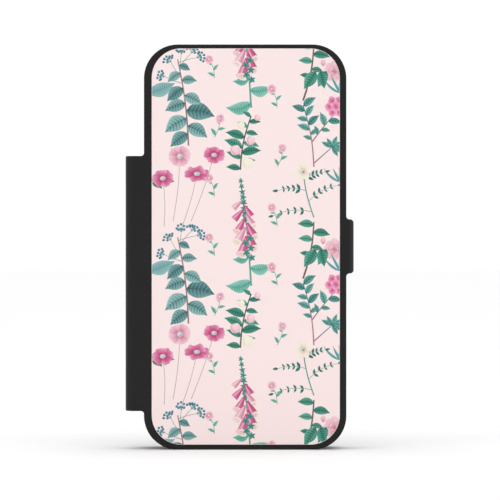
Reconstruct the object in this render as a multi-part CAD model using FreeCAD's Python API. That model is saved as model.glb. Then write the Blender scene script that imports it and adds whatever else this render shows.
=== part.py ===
"""Folding wallet case for a phone: a tray between two covered leaves, a soft spine and a magnetic strap.

The case stands closed and upright on its bottom edge. +Z runs up the case, +X to the right as its printed
front is faced, and +Y from the front to the back. Lengths are in millimetres.
"""
import FreeCAD
import Part

import math
import os

Vector = FreeCAD.Vector
UP = Vector(0, 0, 1)
RIGHT = Vector(1, 0, 0)
BACK = Vector(0, 1, 0)

OVERSHOOT = 1.0  # how far a cut runs on past what it cuts
TOUCHING = 1e-6
ALONG_AXIS = 0.999  # cosine above which an edge counts as running along an axis

# The phone that the tray holds.
PHONE_W = 71.5
PHONE_H = 146.7
PHONE_T = 7.65
PHONE_R = 11.0
PHONE_PLAY = 0.15

# The two leaves.
LEAF_W = 75.1
LEAF_H = 150.3
LEAF_R = 12.5
RIM = 1.6  # turned edge of the outer skin, round the board
LINING_INSET = 1.0
SKIN_T = 0.9
BOARD_T = 0.8
LINING_T = 0.5
GLUE_T = 0.2
GLUE_INSET = 3.2
INNER_FILLET = 1.1  # where the spine and the strap leave a leaf's edge

# The printed panel, let into the front leaf.
PANEL_T = 0.5
PANEL_PROUD = 0.2
PANEL_LEFT = 2.90
PANEL_RIGHT = 2.44
PANEL_TOP = 1.52
PANEL_BOTTOM = 1.89
PANEL_R = 10.9

# The card pockets inside the front leaf. The first is nearest the leaf.
POCKET_T = 0.4
SLOT_GAP = 0.2
CASH_GAP = 0.25
SEAM_W = 2.2
SEAM_END = 2.0  # a side welt stops this short of its pocket's ends
SEAM_FOOT = 0.2
BACKING_INSET = 3.2
BACKING_TOP = 122.0
BACKING_R = 8.8
POCKET_R = 2.0
POCKET_INSET_X = 5.5
POCKET_TOPS = (93.0, 80.0, 67.0)
POCKET_BOTTOMS = (8.0, 7.0, 6.0)
POCKET_NAMES = ("card_pocket_upper", "card_pocket_middle", "card_pocket_lower")

# The moulded tray.
TRAY_CLEARANCE = 0.35  # between the card pockets and the tray's front lip
TRAY_INSET = 0.25
TRAY_FLOOR = 1.2
LIP_T = 1.0
LIP_IN = 0.8
TRAY_EDGE_FILLET = 0.7

# The camera window, through the tray's floor and the back leaf.
CAMERA_W = 31.0
CAMERA_H = 33.0
CAMERA_R = 7.5
CAMERA_FROM_SIDE = 17.25  # window centre, in from the phone's side
CAMERA_FROM_TOP = 18.4
COLLAR_T = 1.2
COLLAR_PROUD = 0.3
COLLAR_PLAY = 0.1

# Openings and buttons in the tray's walls, each as its centre below the phone's top.
SWITCH_DOWN = 29.0
SWITCH_L = 11.0
SWITCH_W = 5.0
BUTTON_PLAY = 0.15
BUTTON_W = 3.1
BUTTON_PROUD = 0.2
BUTTON_ROUND = 0.18
FLANGE_T = 0.5
FLANGE_OVERLAP = 0.85
FLANGE_POCKET = 0.7
BUTTONS = {
    "volume_up_button": {"side": -1, "down": 43.0, "length": 10.0},
    "volume_down_button": {"side": -1, "down": 56.0, "length": 10.0},
    "power_button": {"side": 1, "down": 50.0, "length": 14.0},
}
PORT_L = 13.0
PORT_W = 6.0
SPEAKER_L = 14.0
SPEAKER_W = 3.0
SPEAKER_X = 20.0

# The spine, between the leaves' left edges.
SPINE_OUT = 6.92
SPINE_R = 3.2
SPINE_Z0 = 14.3
SPINE_Z1 = 108.95
FOLD_GAP_DEG = 1.6  # half the cut at each fold line

# The strap, round the right edge and onto the back.
STRAP_OUT = 2.8
STRAP_R = 2.6
STRAP_Z = 75.4
STRAP_H = 20.1
STRAP_GAP = 0.3
TIP_T = 2.4
TIP_END_X = 17.5
TIP_END_R = 5.0
TIP_BLOCK_X = 36.4  # where the strap thickens round its magnets
MAGNET_R = 4.0
MAGNET_T = 1.0
MAGNET_PLAY = 0.1
MAGNET_X = (23.5, 32.0)
KEEPER_T = 0.4
KEEPER_INSET = 2.0
KEEPER_PLAY = 0.05

# Depths from the front leaf's outer face, worked out front to back.
LINING_D = SKIN_T + BOARD_T
BACKING_D = LINING_D + LINING_T + CASH_GAP
POCKET_D = [BACKING_D + LINING_T + SLOT_GAP + n * (POCKET_T + SLOT_GAP) for n in range(3)]
TRAY_D = POCKET_D[-1] + POCKET_T + TRAY_CLEARANCE
BAY_D = TRAY_D + LIP_T
FLOOR_D = BAY_D + PHONE_T + PHONE_PLAY
TRAY_END_D = FLOOR_D + TRAY_FLOOR
BACK_LINING_D = TRAY_END_D + GLUE_T
BACK_BOARD_D = BACK_LINING_D + LINING_T
BACK_SKIN_D = BACK_BOARD_D + BOARD_T
CASE_T = BACK_SKIN_D + SKIN_T
TIP_D = CASE_T + STRAP_GAP
STRAP_END_D = TIP_D + TIP_T
PHONE_MID_D = BAY_D + (PHONE_T + PHONE_PLAY) / 2
COLLAR_CUT = COLLAR_T + COLLAR_PLAY  # how much wider than the window the layers round it are cut

LEAF_X = LEAF_W / 2
SPINE_X = -LEAF_X - SPINE_OUT
STRAP_X = LEAF_X + STRAP_OUT
STRAP_Z0 = STRAP_Z - STRAP_H / 2
STRAP_Z1 = STRAP_Z + STRAP_H / 2
POCKET_X = LEAF_X - POCKET_INSET_X
PHONE_Z0 = (LEAF_H - PHONE_H) / 2
PHONE_Z1 = PHONE_Z0 + PHONE_H
BAY_X = PHONE_W / 2 + PHONE_PLAY
TRAY_X = LEAF_X - TRAY_INSET
CAMERA_X = PHONE_W / 2 - CAMERA_FROM_SIDE
CAMERA_Z = PHONE_Z1 - CAMERA_FROM_TOP

# The frame's origin is the middle of the closed case's footprint.
ORIGIN = Vector((SPINE_X + STRAP_X) / 2, (STRAP_END_D - PANEL_PROUD) / 2, 0)


def fold_line(centre_x, centre_d, radius, degrees):
    """The point on a bend's outer face where it folds, in the plane across the fold."""
    turn = math.radians(degrees)
    return (centre_x + radius * math.cos(turn), centre_d + radius * math.sin(turn))


SPINE_CENTRES = {"front": (SPINE_X + SPINE_R, SPINE_R), "back": (SPINE_X + SPINE_R, CASE_T - SPINE_R)}
STRAP_CENTRES = {"front": (STRAP_X - STRAP_R, STRAP_R), "back": (STRAP_X - STRAP_R, STRAP_END_D - STRAP_R)}
FOLDS = {
    "spine_back": fold_line(*SPINE_CENTRES["back"], SPINE_R, 135),
    "spine_front": fold_line(*SPINE_CENTRES["front"], SPINE_R, 225),
    "strap_front": fold_line(*STRAP_CENTRES["front"], STRAP_R, 315),
    "strap_back": fold_line(*STRAP_CENTRES["back"], STRAP_R, 45),
}


def box(x0, x1, d0, d1, z0, z1):
    """A box between two corners, with its depths counted from the front."""
    return Part.makeBox(x1 - x0, d1 - d0, z1 - z0, Vector(x0, d0, z0))


def plate(x0, x1, z0, z1, radius, d0, d1):
    """A flat plate with rounded corners, facing the front."""
    block = box(x0, x1, d0, d1, z0, z1)
    corners = [e for e in block.Edges if abs(e.tangentAt(e.FirstParameter).y) > ALONG_AXIS]
    return block.makeFillet(radius, corners)


def leaf_plate(inset, d0, d1, radius=LEAF_R):
    return plate(inset - LEAF_X, LEAF_X - inset, inset, LEAF_H - inset, radius - inset, d0, d1)


def slot(along, across, start, end, centre, axis):
    """A slot with round ends, cut from start to end through a wall that faces X or Z."""
    half = (along - across) / 2
    x, d, z = centre
    if axis == "x":
        ends = [Vector(start, d, z - half), Vector(start, d, z + half)]
        middle = box(start, end, d - across / 2, d + across / 2, z - half, z + half)
        direction = RIGHT
    else:
        ends = [Vector(x - half, d, start), Vector(x + half, d, start)]
        middle = box(x - half, x + half, d - across / 2, d + across / 2, start, end)
        direction = UP
    rounds = [Part.makeCylinder(across / 2, end - start, point, direction) for point in ends]
    return middle.fuse(rounds).removeSplitter()


def bend(centre, outer, inner, start_deg, end_deg, z0, z1):
    """Part of a bend in a strip: a sector of a tube, standing up."""
    x, d = centre
    points = []
    for radius in (outer, inner):
        turns = [math.radians(a) for a in (start_deg, (start_deg + end_deg) / 2, end_deg)]
        points.append([Vector(x + radius * math.cos(t), d + radius * math.sin(t), z0) for t in turns])
    far, near = points
    edges = [
        Part.Arc(*far).toShape(),
        Part.LineSegment(far[2], near[2]).toShape(),
        Part.Arc(*reversed(near)).toShape(),
        Part.LineSegment(near[0], far[0]).toShape(),
    ]
    return Part.Face(Part.Wire(edges)).extrude(Vector(0, 0, z1 - z0))


def joined(shapes):
    return shapes[0].fuse(shapes[1:]).removeSplitter()


def fillet_at(shape, radius, places):
    """Rounds the edges that run front to back at each of these (x, z) places."""
    chosen = []
    for edge in shape.Edges:
        middle = edge.CenterOfMass
        runs_back = abs(edge.tangentAt(edge.FirstParameter).y) > ALONG_AXIS
        if runs_back and any(math.hypot(middle.x - x, middle.z - z) < 0.01 for x, z in places):
            chosen.append(edge)
    return shape.makeFillet(radius, chosen)


def spine_band(which, start_deg, end_deg, skin):
    """Part of the spine's bend, in its outer skin or in its lining."""
    outer = SPINE_R if skin else SPINE_R - SKIN_T
    inner = outer - (SKIN_T if skin else LINING_T)
    return bend(SPINE_CENTRES[which], outer, inner, start_deg, end_deg, SPINE_Z0, SPINE_Z1)


def strap_band(which, start_deg, end_deg, skin):
    outer = STRAP_R if skin else STRAP_R - SKIN_T
    inner = outer - (SKIN_T if skin else LINING_T)
    return bend(STRAP_CENTRES[which], outer, inner, start_deg, end_deg, STRAP_Z0, STRAP_Z1)


def strap_box(x0, x1, d0, d1):
    return box(x0, x1, d0, d1, STRAP_Z0, STRAP_Z1)


def camera_cut(grow, d0, d1):
    """The camera window, grown by a margin all round."""
    half_w = CAMERA_W / 2 + grow
    half_h = CAMERA_H / 2 + grow
    return plate(
        CAMERA_X - half_w, CAMERA_X + half_w, CAMERA_Z - half_h, CAMERA_Z + half_h, CAMERA_R + grow, d0, d1
    )


def panel_plate(grow, d0, d1):
    return plate(
        PANEL_LEFT - LEAF_X - grow,
        LEAF_X - PANEL_RIGHT + grow,
        PANEL_BOTTOM - grow,
        LEAF_H - PANEL_TOP + grow,
        PANEL_R + grow,
        d0,
        d1,
    )


def front_skin():
    """Outer skin of the front leaf: a pan with a turned rim, the spine's return and the strap's root."""
    spine_return = box(SPINE_X + SPINE_R, -LEAF_X, 0, SKIN_T, SPINE_Z0, SPINE_Z1)
    strap_root = strap_box(LEAF_X, STRAP_X - STRAP_R, 0, SKIN_T)
    pan = joined([leaf_plate(0, 0, SKIN_T), spine_return])
    pan = fillet_at(pan, INNER_FILLET, [(-LEAF_X, SPINE_Z0), (-LEAF_X, SPINE_Z1)])
    rim = leaf_plate(0, SKIN_T, LINING_D).cut(leaf_plate(RIM, SKIN_T, LINING_D))
    pieces = [
        pan,
        rim,
        strap_root,
        spine_band("front", 225 + FOLD_GAP_DEG, 270, skin=True),
        strap_band("front", 270, 315 - FOLD_GAP_DEG, skin=True),
    ]
    return joined(pieces).cut(panel_plate(0, -OVERSHOOT, PANEL_T - PANEL_PROUD))


def back_skin():
    """Outer skin of the back leaf, with the camera window and the spine's return."""
    spine_return = box(SPINE_X + SPINE_R, -LEAF_X, BACK_SKIN_D, CASE_T, SPINE_Z0, SPINE_Z1)
    pan = joined([leaf_plate(0, BACK_SKIN_D, CASE_T), spine_return])
    pan = fillet_at(pan, INNER_FILLET, [(-LEAF_X, SPINE_Z0), (-LEAF_X, SPINE_Z1)])
    rim = leaf_plate(0, BACK_BOARD_D, BACK_SKIN_D).cut(leaf_plate(RIM, BACK_BOARD_D, BACK_SKIN_D))
    whole = joined([pan, rim, spine_band("back", 90, 135 - FOLD_GAP_DEG, skin=True)])
    return whole.cut(camera_cut(COLLAR_CUT, BACK_BOARD_D - OVERSHOOT, CASE_T + OVERSHOOT))


def leaf_lining(depth, jog_from, jog_to, return_depth, band):
    """Inner lining of a leaf. It steps over the board's edge and goes on into the spine."""
    edge = -LEAF_X + LINING_INSET
    sheet = leaf_plate(LINING_INSET, depth, depth + LINING_T)
    step = box(-LEAF_X - LINING_T, -LEAF_X, jog_from, jog_to, SPINE_Z0, SPINE_Z1)
    bridge = box(-LEAF_X - LINING_T, edge, depth, depth + LINING_T, SPINE_Z0, SPINE_Z1)
    run = box(SPINE_X + SPINE_R, -LEAF_X, return_depth, return_depth + LINING_T, SPINE_Z0, SPINE_Z1)
    return joined([sheet, bridge, step, run, band])


def front_lining():
    band = spine_band("front", 225 + FOLD_GAP_DEG, 270, skin=False)
    return leaf_lining(LINING_D, SKIN_T, LINING_D + LINING_T, SKIN_T, band)


def back_lining():
    band = spine_band("back", 90, 135 - FOLD_GAP_DEG, skin=False)
    whole = leaf_lining(BACK_LINING_D, BACK_LINING_D, BACK_SKIN_D, BACK_SKIN_D - LINING_T, band)
    return whole.cut(camera_cut(COLLAR_CUT, BACK_LINING_D - OVERSHOOT, CASE_T))


def back_board():
    """Stiffening board of the back leaf, with a seat for the strap's steel keeper."""
    board = leaf_plate(RIM, BACK_BOARD_D, BACK_SKIN_D)
    board = board.cut(camera_cut(COLLAR_CUT, BACK_BOARD_D - OVERSHOOT, CASE_T))
    return board.cut(keeper_plate(0))


def keeper_plate(inset):
    """Steel plate under the back skin, which the strap's magnets hold on to."""
    x1 = LEAF_X - RIM - KEEPER_INSET - inset
    z0 = STRAP_Z0 + KEEPER_INSET + inset
    z1 = STRAP_Z1 - KEEPER_INSET - inset
    return box(TIP_END_X + inset, x1, BACK_SKIN_D - KEEPER_T, BACK_SKIN_D, z0, z1)


def tray_glue():
    sheet = leaf_plate(GLUE_INSET, TRAY_END_D, BACK_LINING_D)
    return sheet.cut(camera_cut(COLLAR_CUT, TRAY_END_D - OVERSHOOT, CASE_T))


def button_centre(name):
    return (0, PHONE_MID_D, PHONE_Z1 - BUTTONS[name]["down"])


def side_span(side, inner, outer):
    """A span along X, given as distances from the middle, on the left (-1) or the right (1)."""
    return (inner, outer) if side > 0 else (-outer, -inner)


def phone_tray():
    """The moulded tray: a floor, four walls and a lip that the phone snaps behind."""
    outer = leaf_plate(TRAY_INSET, TRAY_D, TRAY_END_D)
    rims = [e for e in outer.Edges if e.BoundBox.YMax < TRAY_D + TOUCHING]
    tray = outer.makeFillet(TRAY_EDGE_FILLET, rims)
    bay = plate(-BAY_X, BAY_X, PHONE_Z0 - PHONE_PLAY, PHONE_Z1 + PHONE_PLAY, PHONE_R + PHONE_PLAY,
                BAY_D, FLOOR_D)
    mouth_x = BAY_X - LIP_IN
    mouth = plate(-mouth_x, mouth_x, PHONE_Z0 - PHONE_PLAY + LIP_IN, PHONE_Z1 + PHONE_PLAY - LIP_IN,
                  PHONE_R + PHONE_PLAY - LIP_IN, TRAY_D - OVERSHOOT, BAY_D)
    collar = camera_cut(COLLAR_T, TRAY_END_D, CASE_T + COLLAR_PROUD)
    tray = joined([tray.cut(bay.fuse(mouth)), collar])
    cuts = [camera_cut(0, FLOOR_D - OVERSHOOT, CASE_T + OVERSHOOT)]
    below = (-OVERSHOOT, PHONE_Z0 + OVERSHOOT)
    cuts.append(slot(PORT_L, PORT_W, *below, (0, PHONE_MID_D, 0), "z"))
    for side in (-1, 1):
        cuts.append(slot(SPEAKER_L, SPEAKER_W, *below, (side * SPEAKER_X, PHONE_MID_D, 0), "z"))
    left_wall = side_span(-1, BAY_X - OVERSHOOT, LEAF_X + OVERSHOOT)
    cuts.append(slot(SWITCH_L, SWITCH_W, *left_wall, (0, PHONE_MID_D, PHONE_Z1 - SWITCH_DOWN), "x"))
    for name, button in BUTTONS.items():
        grow = 2 * BUTTON_PLAY
        through = side_span(button["side"], BAY_X - OVERSHOOT, LEAF_X + OVERSHOOT)
        pocket = side_span(button["side"], BAY_X - OVERSHOOT, BAY_X + FLANGE_POCKET)
        length = button["length"] + grow
        width = BUTTON_W + grow
        cuts.append(slot(length, width, *through, button_centre(name), "x"))
        flange = 2 * FLANGE_OVERLAP
        cuts.append(slot(length + flange, width + flange, *pocket, button_centre(name), "x"))
    return tray.cut(cuts).removeSplitter()


def tray_button(name):
    """A button cover: a pad in the wall's window, kept in by a flange on its inner side."""
    button = BUTTONS[name]
    outer_x = LEAF_X - TRAY_INSET + BUTTON_PROUD
    flange_x = BAY_X + FLANGE_POCKET - BUTTON_PLAY - FLANGE_T
    centre = button_centre(name)
    pad_span = side_span(button["side"], flange_x, outer_x)
    pad = slot(button["length"], BUTTON_W, *pad_span, centre, "x")
    tip = [e for e in pad.Edges if abs(abs(e.CenterOfMass.x) - outer_x) < TOUCHING]
    pad = pad.makeFillet(BUTTON_ROUND, tip)
    grow = 2 * (FLANGE_OVERLAP - BUTTON_PLAY)
    flange_span = side_span(button["side"], flange_x, flange_x + FLANGE_T)
    flange = slot(button["length"] + grow, BUTTON_W + grow, *flange_span, centre, "x")
    return joined([pad, flange])


def card_backing():
    """The sheet that the card pockets are sewn to. Behind it is the note pocket, open at the free edge."""
    return plate(BACKING_INSET - LEAF_X, LEAF_X - BACKING_INSET, BACKING_INSET, BACKING_TOP,
                 BACKING_R, BACKING_D, BACKING_D + LINING_T)


def card_pocket(n):
    z0, z1 = POCKET_BOTTOMS[n], POCKET_TOPS[n]
    return plate(-POCKET_X, POCKET_X, z0, z1, POCKET_R, POCKET_D[n], POCKET_D[n] + POCKET_T)


def pocket_seams():
    """Thin welts under the sewn edges, which hold each slot open by its gap."""
    left, right = BACKING_INSET - LEAF_X, LEAF_X - BACKING_INSET
    corner = LEAF_R - BACKING_INSET
    d0, d1 = LINING_D + LINING_T, BACKING_D
    strips = [
        box(left, left + SEAM_W, d0, d1, BACKING_INSET + corner, BACKING_TOP - corner),
        box(left + corner, right - corner, d0, d1, BACKING_INSET, BACKING_INSET + SEAM_W),
        box(left + corner, right - corner, d0, d1, BACKING_TOP - SEAM_W, BACKING_TOP),
    ]
    inner_x = POCKET_X - SEAM_W
    for n, d1 in enumerate(POCKET_D):
        d0 = d1 - SLOT_GAP
        z0, z1 = POCKET_BOTTOMS[n] + SEAM_END, POCKET_TOPS[n] - SEAM_END
        strips.append(box(-POCKET_X, -inner_x, d0, d1, z0, z1))
        strips.append(box(inner_x, POCKET_X, d0, d1, z0, z1))
        # An outer pocket's foot rests on the one behind it only where they overlap.
        foot = max(POCKET_BOTTOMS[n], POCKET_BOTTOMS[max(n - 1, 0)]) + SEAM_FOOT
        strips.append(box(-inner_x, inner_x, d0, d1, foot, foot + SEAM_W))
    return Part.makeCompound(strips)


def spine_skin():
    side = box(SPINE_X, SPINE_X + SKIN_T, SPINE_R, CASE_T - SPINE_R, SPINE_Z0, SPINE_Z1)
    front = spine_band("front", 180, 225 - FOLD_GAP_DEG, skin=True)
    return joined([side, front, spine_band("back", 135 + FOLD_GAP_DEG, 180, skin=True)])


def spine_lining():
    x0 = SPINE_X + SKIN_T
    side = box(x0, x0 + LINING_T, SPINE_R, CASE_T - SPINE_R, SPINE_Z0, SPINE_Z1)
    front = spine_band("front", 180, 225 - FOLD_GAP_DEG, skin=False)
    return joined([side, front, spine_band("back", 135 + FOLD_GAP_DEG, 180, skin=False)])


def strap_side(skin):
    """The stretch of the strap that crosses the case's right side, in its skin or its lining."""
    x1 = STRAP_X if skin else STRAP_X - SKIN_T
    x0 = x1 - (SKIN_T if skin else LINING_T)
    side = strap_box(x0, x1, STRAP_R, STRAP_END_D - STRAP_R)
    front = strap_band("front", 315 + FOLD_GAP_DEG, 360, skin)
    return joined([side, front, strap_band("back", 0, 45 - FOLD_GAP_DEG, skin)])


def tip_outline(d0, d1):
    block = strap_box(TIP_END_X, STRAP_X, d0, d1)
    return fillet_at(block, TIP_END_R, [(TIP_END_X, STRAP_Z0), (TIP_END_X, STRAP_Z1)])


def magnet_discs(play):
    discs = []
    for x in MAGNET_X:
        base = Vector(x, TIP_D + LINING_T, STRAP_Z)
        discs.append(Part.makeCylinder(MAGNET_R + play, MAGNET_T, base, BACK))
    return discs


def strap_tip_skin():
    """Outer skin and filler of the strap's tip, with pockets for the two magnets."""
    bend_x = STRAP_X - STRAP_R
    cover = strap_box(TIP_END_X, bend_x, STRAP_END_D - SKIN_T, STRAP_END_D)
    filler = strap_box(TIP_END_X, TIP_BLOCK_X, TIP_D + LINING_T, STRAP_END_D - SKIN_T)
    flat = joined([cover, filler]).common(tip_outline(0, STRAP_END_D + OVERSHOOT))
    band = strap_band("back", 45 + FOLD_GAP_DEG, 90, skin=True)
    return joined([flat, band]).cut(magnet_discs(MAGNET_PLAY))


def strap_tip_lining():
    bend_x = STRAP_X - STRAP_R
    step_x = TIP_BLOCK_X + LINING_T
    face = strap_box(TIP_END_X, step_x, TIP_D, TIP_D + LINING_T)
    step = strap_box(TIP_BLOCK_X, step_x, TIP_D, STRAP_END_D - SKIN_T)
    run = strap_box(TIP_BLOCK_X, bend_x, STRAP_END_D - SKIN_T - LINING_T, STRAP_END_D - SKIN_T)
    flat = joined([face, step, run]).common(tip_outline(0, STRAP_END_D + OVERSHOOT))
    return joined([flat, strap_band("back", 45 + FOLD_GAP_DEG, 90, skin=False)])


def parts():
    """Every sub-part by its node's name."""
    made = {
        "front_skin": front_skin(),
        "printed_panel": panel_plate(0, -PANEL_PROUD, PANEL_T - PANEL_PROUD),
        "front_board": leaf_plate(RIM, SKIN_T, LINING_D),
        "front_lining": front_lining(),
        "card_backing": card_backing(),
        "pocket_seams": pocket_seams(),
        "phone_tray": phone_tray(),
        "tray_glue": tray_glue(),
        "back_lining": back_lining(),
        "back_board": back_board(),
        "back_skin": back_skin(),
        "keeper_plate": keeper_plate(KEEPER_PLAY),
        "spine_skin": spine_skin(),
        "spine_lining": spine_lining(),
        "strap_side_skin": strap_side(skin=True),
        "strap_side_lining": strap_side(skin=False),
        "strap_tip_skin": strap_tip_skin(),
        "strap_tip_lining": strap_tip_lining(),
        "strap_magnets": Part.makeCompound(magnet_discs(0)),
    }
    for n, name in enumerate(POCKET_NAMES):
        made[name] = card_pocket(n)
    for name in BUTTONS:
        made[name] = tray_button(name)
    return made


def main():
    os.makedirs("parts", exist_ok=True)
    for name, shape in parts().items():
        shape.translate(ORIGIN * -1)
        assert shape.isValid(), name
        print(name, "solids", len(shape.Solids), "volume", round(shape.Volume, 2))
        shape.exportStep(f"parts/{name}.step")


if __name__ == "__main__":
    main()
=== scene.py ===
import bmesh
import bpy
import math
import random
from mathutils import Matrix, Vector
from mathutils.geometry import delaunay_2d_cdt, tessellate_polygon


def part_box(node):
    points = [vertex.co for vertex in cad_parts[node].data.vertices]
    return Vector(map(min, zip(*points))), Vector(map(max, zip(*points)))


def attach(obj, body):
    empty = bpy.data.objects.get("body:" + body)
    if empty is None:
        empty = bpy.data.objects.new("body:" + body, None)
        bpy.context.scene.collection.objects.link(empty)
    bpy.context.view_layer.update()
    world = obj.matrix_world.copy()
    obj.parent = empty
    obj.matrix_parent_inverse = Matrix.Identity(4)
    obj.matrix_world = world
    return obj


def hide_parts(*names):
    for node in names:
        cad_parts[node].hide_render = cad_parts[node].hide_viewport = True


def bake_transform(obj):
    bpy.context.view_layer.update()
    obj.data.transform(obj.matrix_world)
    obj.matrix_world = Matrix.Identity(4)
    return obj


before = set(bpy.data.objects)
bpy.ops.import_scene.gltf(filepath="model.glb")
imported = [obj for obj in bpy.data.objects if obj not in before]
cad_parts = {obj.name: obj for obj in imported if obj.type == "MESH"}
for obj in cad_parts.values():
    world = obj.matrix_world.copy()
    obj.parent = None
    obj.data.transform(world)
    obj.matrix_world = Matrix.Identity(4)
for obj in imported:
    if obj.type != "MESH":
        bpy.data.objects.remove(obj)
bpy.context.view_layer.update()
MM = 0.001

# ---------------------------------------------------------------- where things are, in mm
def node_box(name):
    lo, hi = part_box(name)
    return [v / MM for v in lo], [v / MM for v in hi]


BOARD_LO, BOARD_HI = node_box("front_board")
PANEL_LO, PANEL_HI = node_box("printed_panel")
SPINE_LO, SPINE_HI = node_box("spine_skin")
SIDE_LO, SIDE_HI = node_box("strap_side_skin")
TIP_LO, TIP_HI = node_box("strap_tip_skin")

RIM = 1.6
SKIN = 0.9
LINING = 0.5
LEAF_X0, LEAF_X1 = BOARD_LO[0] - RIM, BOARD_HI[0] + RIM
LEAF_Z0, LEAF_Z1 = BOARD_LO[2] - RIM, BOARD_HI[2] + RIM
LEAF_R = 12.5
FRONT = BOARD_LO[1] - SKIN          # outer face of the front leaf
LEAF_BACK = node_box("front_skin")[1][1]    # inner face of the front leaf's turned edge
BACK = node_box("back_skin")[1][1]          # outer face of the back leaf
SPINE_X = SPINE_LO[0]
SPINE_R = 3.2
STRAP_X = SIDE_HI[0]
STRAP_R = 2.6
STRAP_Z0, STRAP_Z1 = SIDE_LO[2], SIDE_HI[2]
STRAP_END = TIP_HI[1]


# ---------------------------------------------------------------- mesh helpers
SMOOTH_DEG = 38                     # an edge that turns less than this is shaded smooth


def make_mesh(name, verts, faces, material, smooth_deg=SMOOTH_DEG):
    """A closed, outward-facing mesh from points in mm, with sharp edges only where it turns sharply."""
    mesh = bpy.data.meshes.new(name)
    mesh.from_pydata([tuple(c * MM for c in v) for v in verts], [], faces)
    bm = bmesh.new()
    bm.from_mesh(mesh)
    bmesh.ops.remove_doubles(bm, verts=bm.verts, dist=1e-6)
    bmesh.ops.recalc_face_normals(bm, faces=bm.faces)
    for f in bm.faces:
        f.smooth = True
    limit = math.radians(smooth_deg)
    for e in bm.edges:
        e.smooth = len(e.link_faces) == 2 and e.calc_face_angle(0) < limit
    bm.to_mesh(mesh)
    bm.free()
    obj = bpy.data.objects.new(name, mesh)
    bpy.context.scene.collection.objects.link(obj)
    mesh.materials.append(material)
    return obj


def rounded_rect(x0, x1, z0, z1, r, steps=14):
    """Outline of a rounded rectangle, anticlockwise seen with X right and Z up."""
    pts = []
    corners = ((x1 - r, z0 + r, -90), (x1 - r, z1 - r, 0), (x0 + r, z1 - r, 90), (x0 + r, z0 + r, 180))
    for cx, cz, a0 in corners:
        for k in range(steps + 1):
            a = math.radians(a0 + 90 * k / steps)
            pts.append((cx + r * math.cos(a), cz + r * math.sin(a)))
    return pts


def offset(outline, inset, fixed_x=()):
    """The outline moved inwards by inset. Points whose x is in fixed_x lie on a cut line and stay on it."""
    n = len(outline)
    moved = []
    for i, (x, z) in enumerate(outline):
        ax, az = outline[i - 1]
        bx, bz = outline[(i + 1) % n]
        nx, nz = 0.0, 0.0
        for ux, uz in ((x - ax, z - az), (bx - x, bz - z)):
            length = math.hypot(ux, uz) or 1.0
            nx -= uz / length
            nz += ux / length
        length = math.hypot(nx, nz) or 1.0
        nx, nz = nx / length, nz / length
        if any(abs(x - cut) < 1e-6 for cut in fixed_x):
            within_cut = abs(ax - x) < 1e-6 and abs(bx - x) < 1e-6
            shift = 0.0 if within_cut else inset if nz > 0 else -inset
            moved.append((x, z + shift))
        else:
            moved.append((x + nx * inset, z + nz * inset))
    return moved


def plate(name, outline, rings, material, hole=None, hole_rings=None, fixed_x=(), blind=False):
    """A plate with a shaped edge: rings are (inset, y) from one flat face round to the other.
    A hole has its own rings in the same order, and their insets go out into the plate.
    A blind hole has a floor."""
    verts, faces = [], []

    def loops(line, spec, sign):
        made = []
        for inset, y in spec:
            moved = offset(line, inset * sign, fixed_x if sign > 0 else ())
            start = len(verts)
            verts.extend((x, y, z) for x, z in moved)
            made.append(list(range(start, start + len(moved))))
        for a, b in zip(made, made[1:]):
            for i in range(len(a)):
                j = (i + 1) % len(a)
                faces.append((a[i], a[j], b[j], b[i]))
        return made

    outer = loops(outline, rings, 1)
    inner = loops(hole, hole_rings, -1) if hole else None
    if blind:
        faces += [tuple(inner[-1]), tuple(outer[-1])]
    for end in (0,) if blind else (0, -1):
        flat = [outer[end]] + ([inner[end]] if inner else [])
        index = [i for loop in flat for i in loop]
        polys = [[Vector((verts[i][0], verts[i][2], 0)) for i in loop] for loop in flat]
        for t in tessellate_polygon(polys):
            faces.append(tuple(index[k] for k in t))
    return make_mesh(name, verts, faces, material)


FLAT_RING = 0.25                 # inside a rounded edge, so that the flat face beyond it shades as flat


def arc_rings(edge_r, y_face, y_wall_end, end_r=0.0, steps=5):
    """Rings from a flat face, round its edge, down the wall and round the far edge."""
    s = 1 if y_wall_end > y_face else -1
    rings = [(edge_r + FLAT_RING, y_face)]
    for k in range(steps + 1):
        a = math.pi / 2 * k / steps
        rings.append((edge_r * (1 - math.sin(a)), y_face + s * edge_r * (1 - math.cos(a))))
    if end_r:
        for k in range(steps + 1):
            a = math.pi / 2 * k / steps
            rings.append((end_r * (1 - math.cos(a)), y_wall_end - s * end_r * (1 - math.sin(a))))
    else:
        rings.append((0.0, y_wall_end))
    return rings


def path_frames(points):
    """Normals to the left of a path in the X-Y plane."""
    out = []
    for i, (x, y) in enumerate(points):
        ax, ay = points[max(i - 1, 0)]
        bx, by = points[min(i + 1, len(points) - 1)]
        dx, dy = bx - ax, by - ay
        length = math.hypot(dx, dy)
        out.append((-dy / length, dx / length))
    return out


def arc(cx, cy, r, a0, a1, steps=14):
    return [(cx + r * math.cos(math.radians(a0 + (a1 - a0) * k / steps)),
             cy + r * math.sin(math.radians(a0 + (a1 - a0) * k / steps))) for k in range(steps + 1)]


def line(p, q, steps):
    return [(p[0] + (q[0] - p[0]) * k / steps, p[1] + (q[1] - p[1]) * k / steps) for k in range(steps)]


STRIP_ROWS = 24


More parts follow.
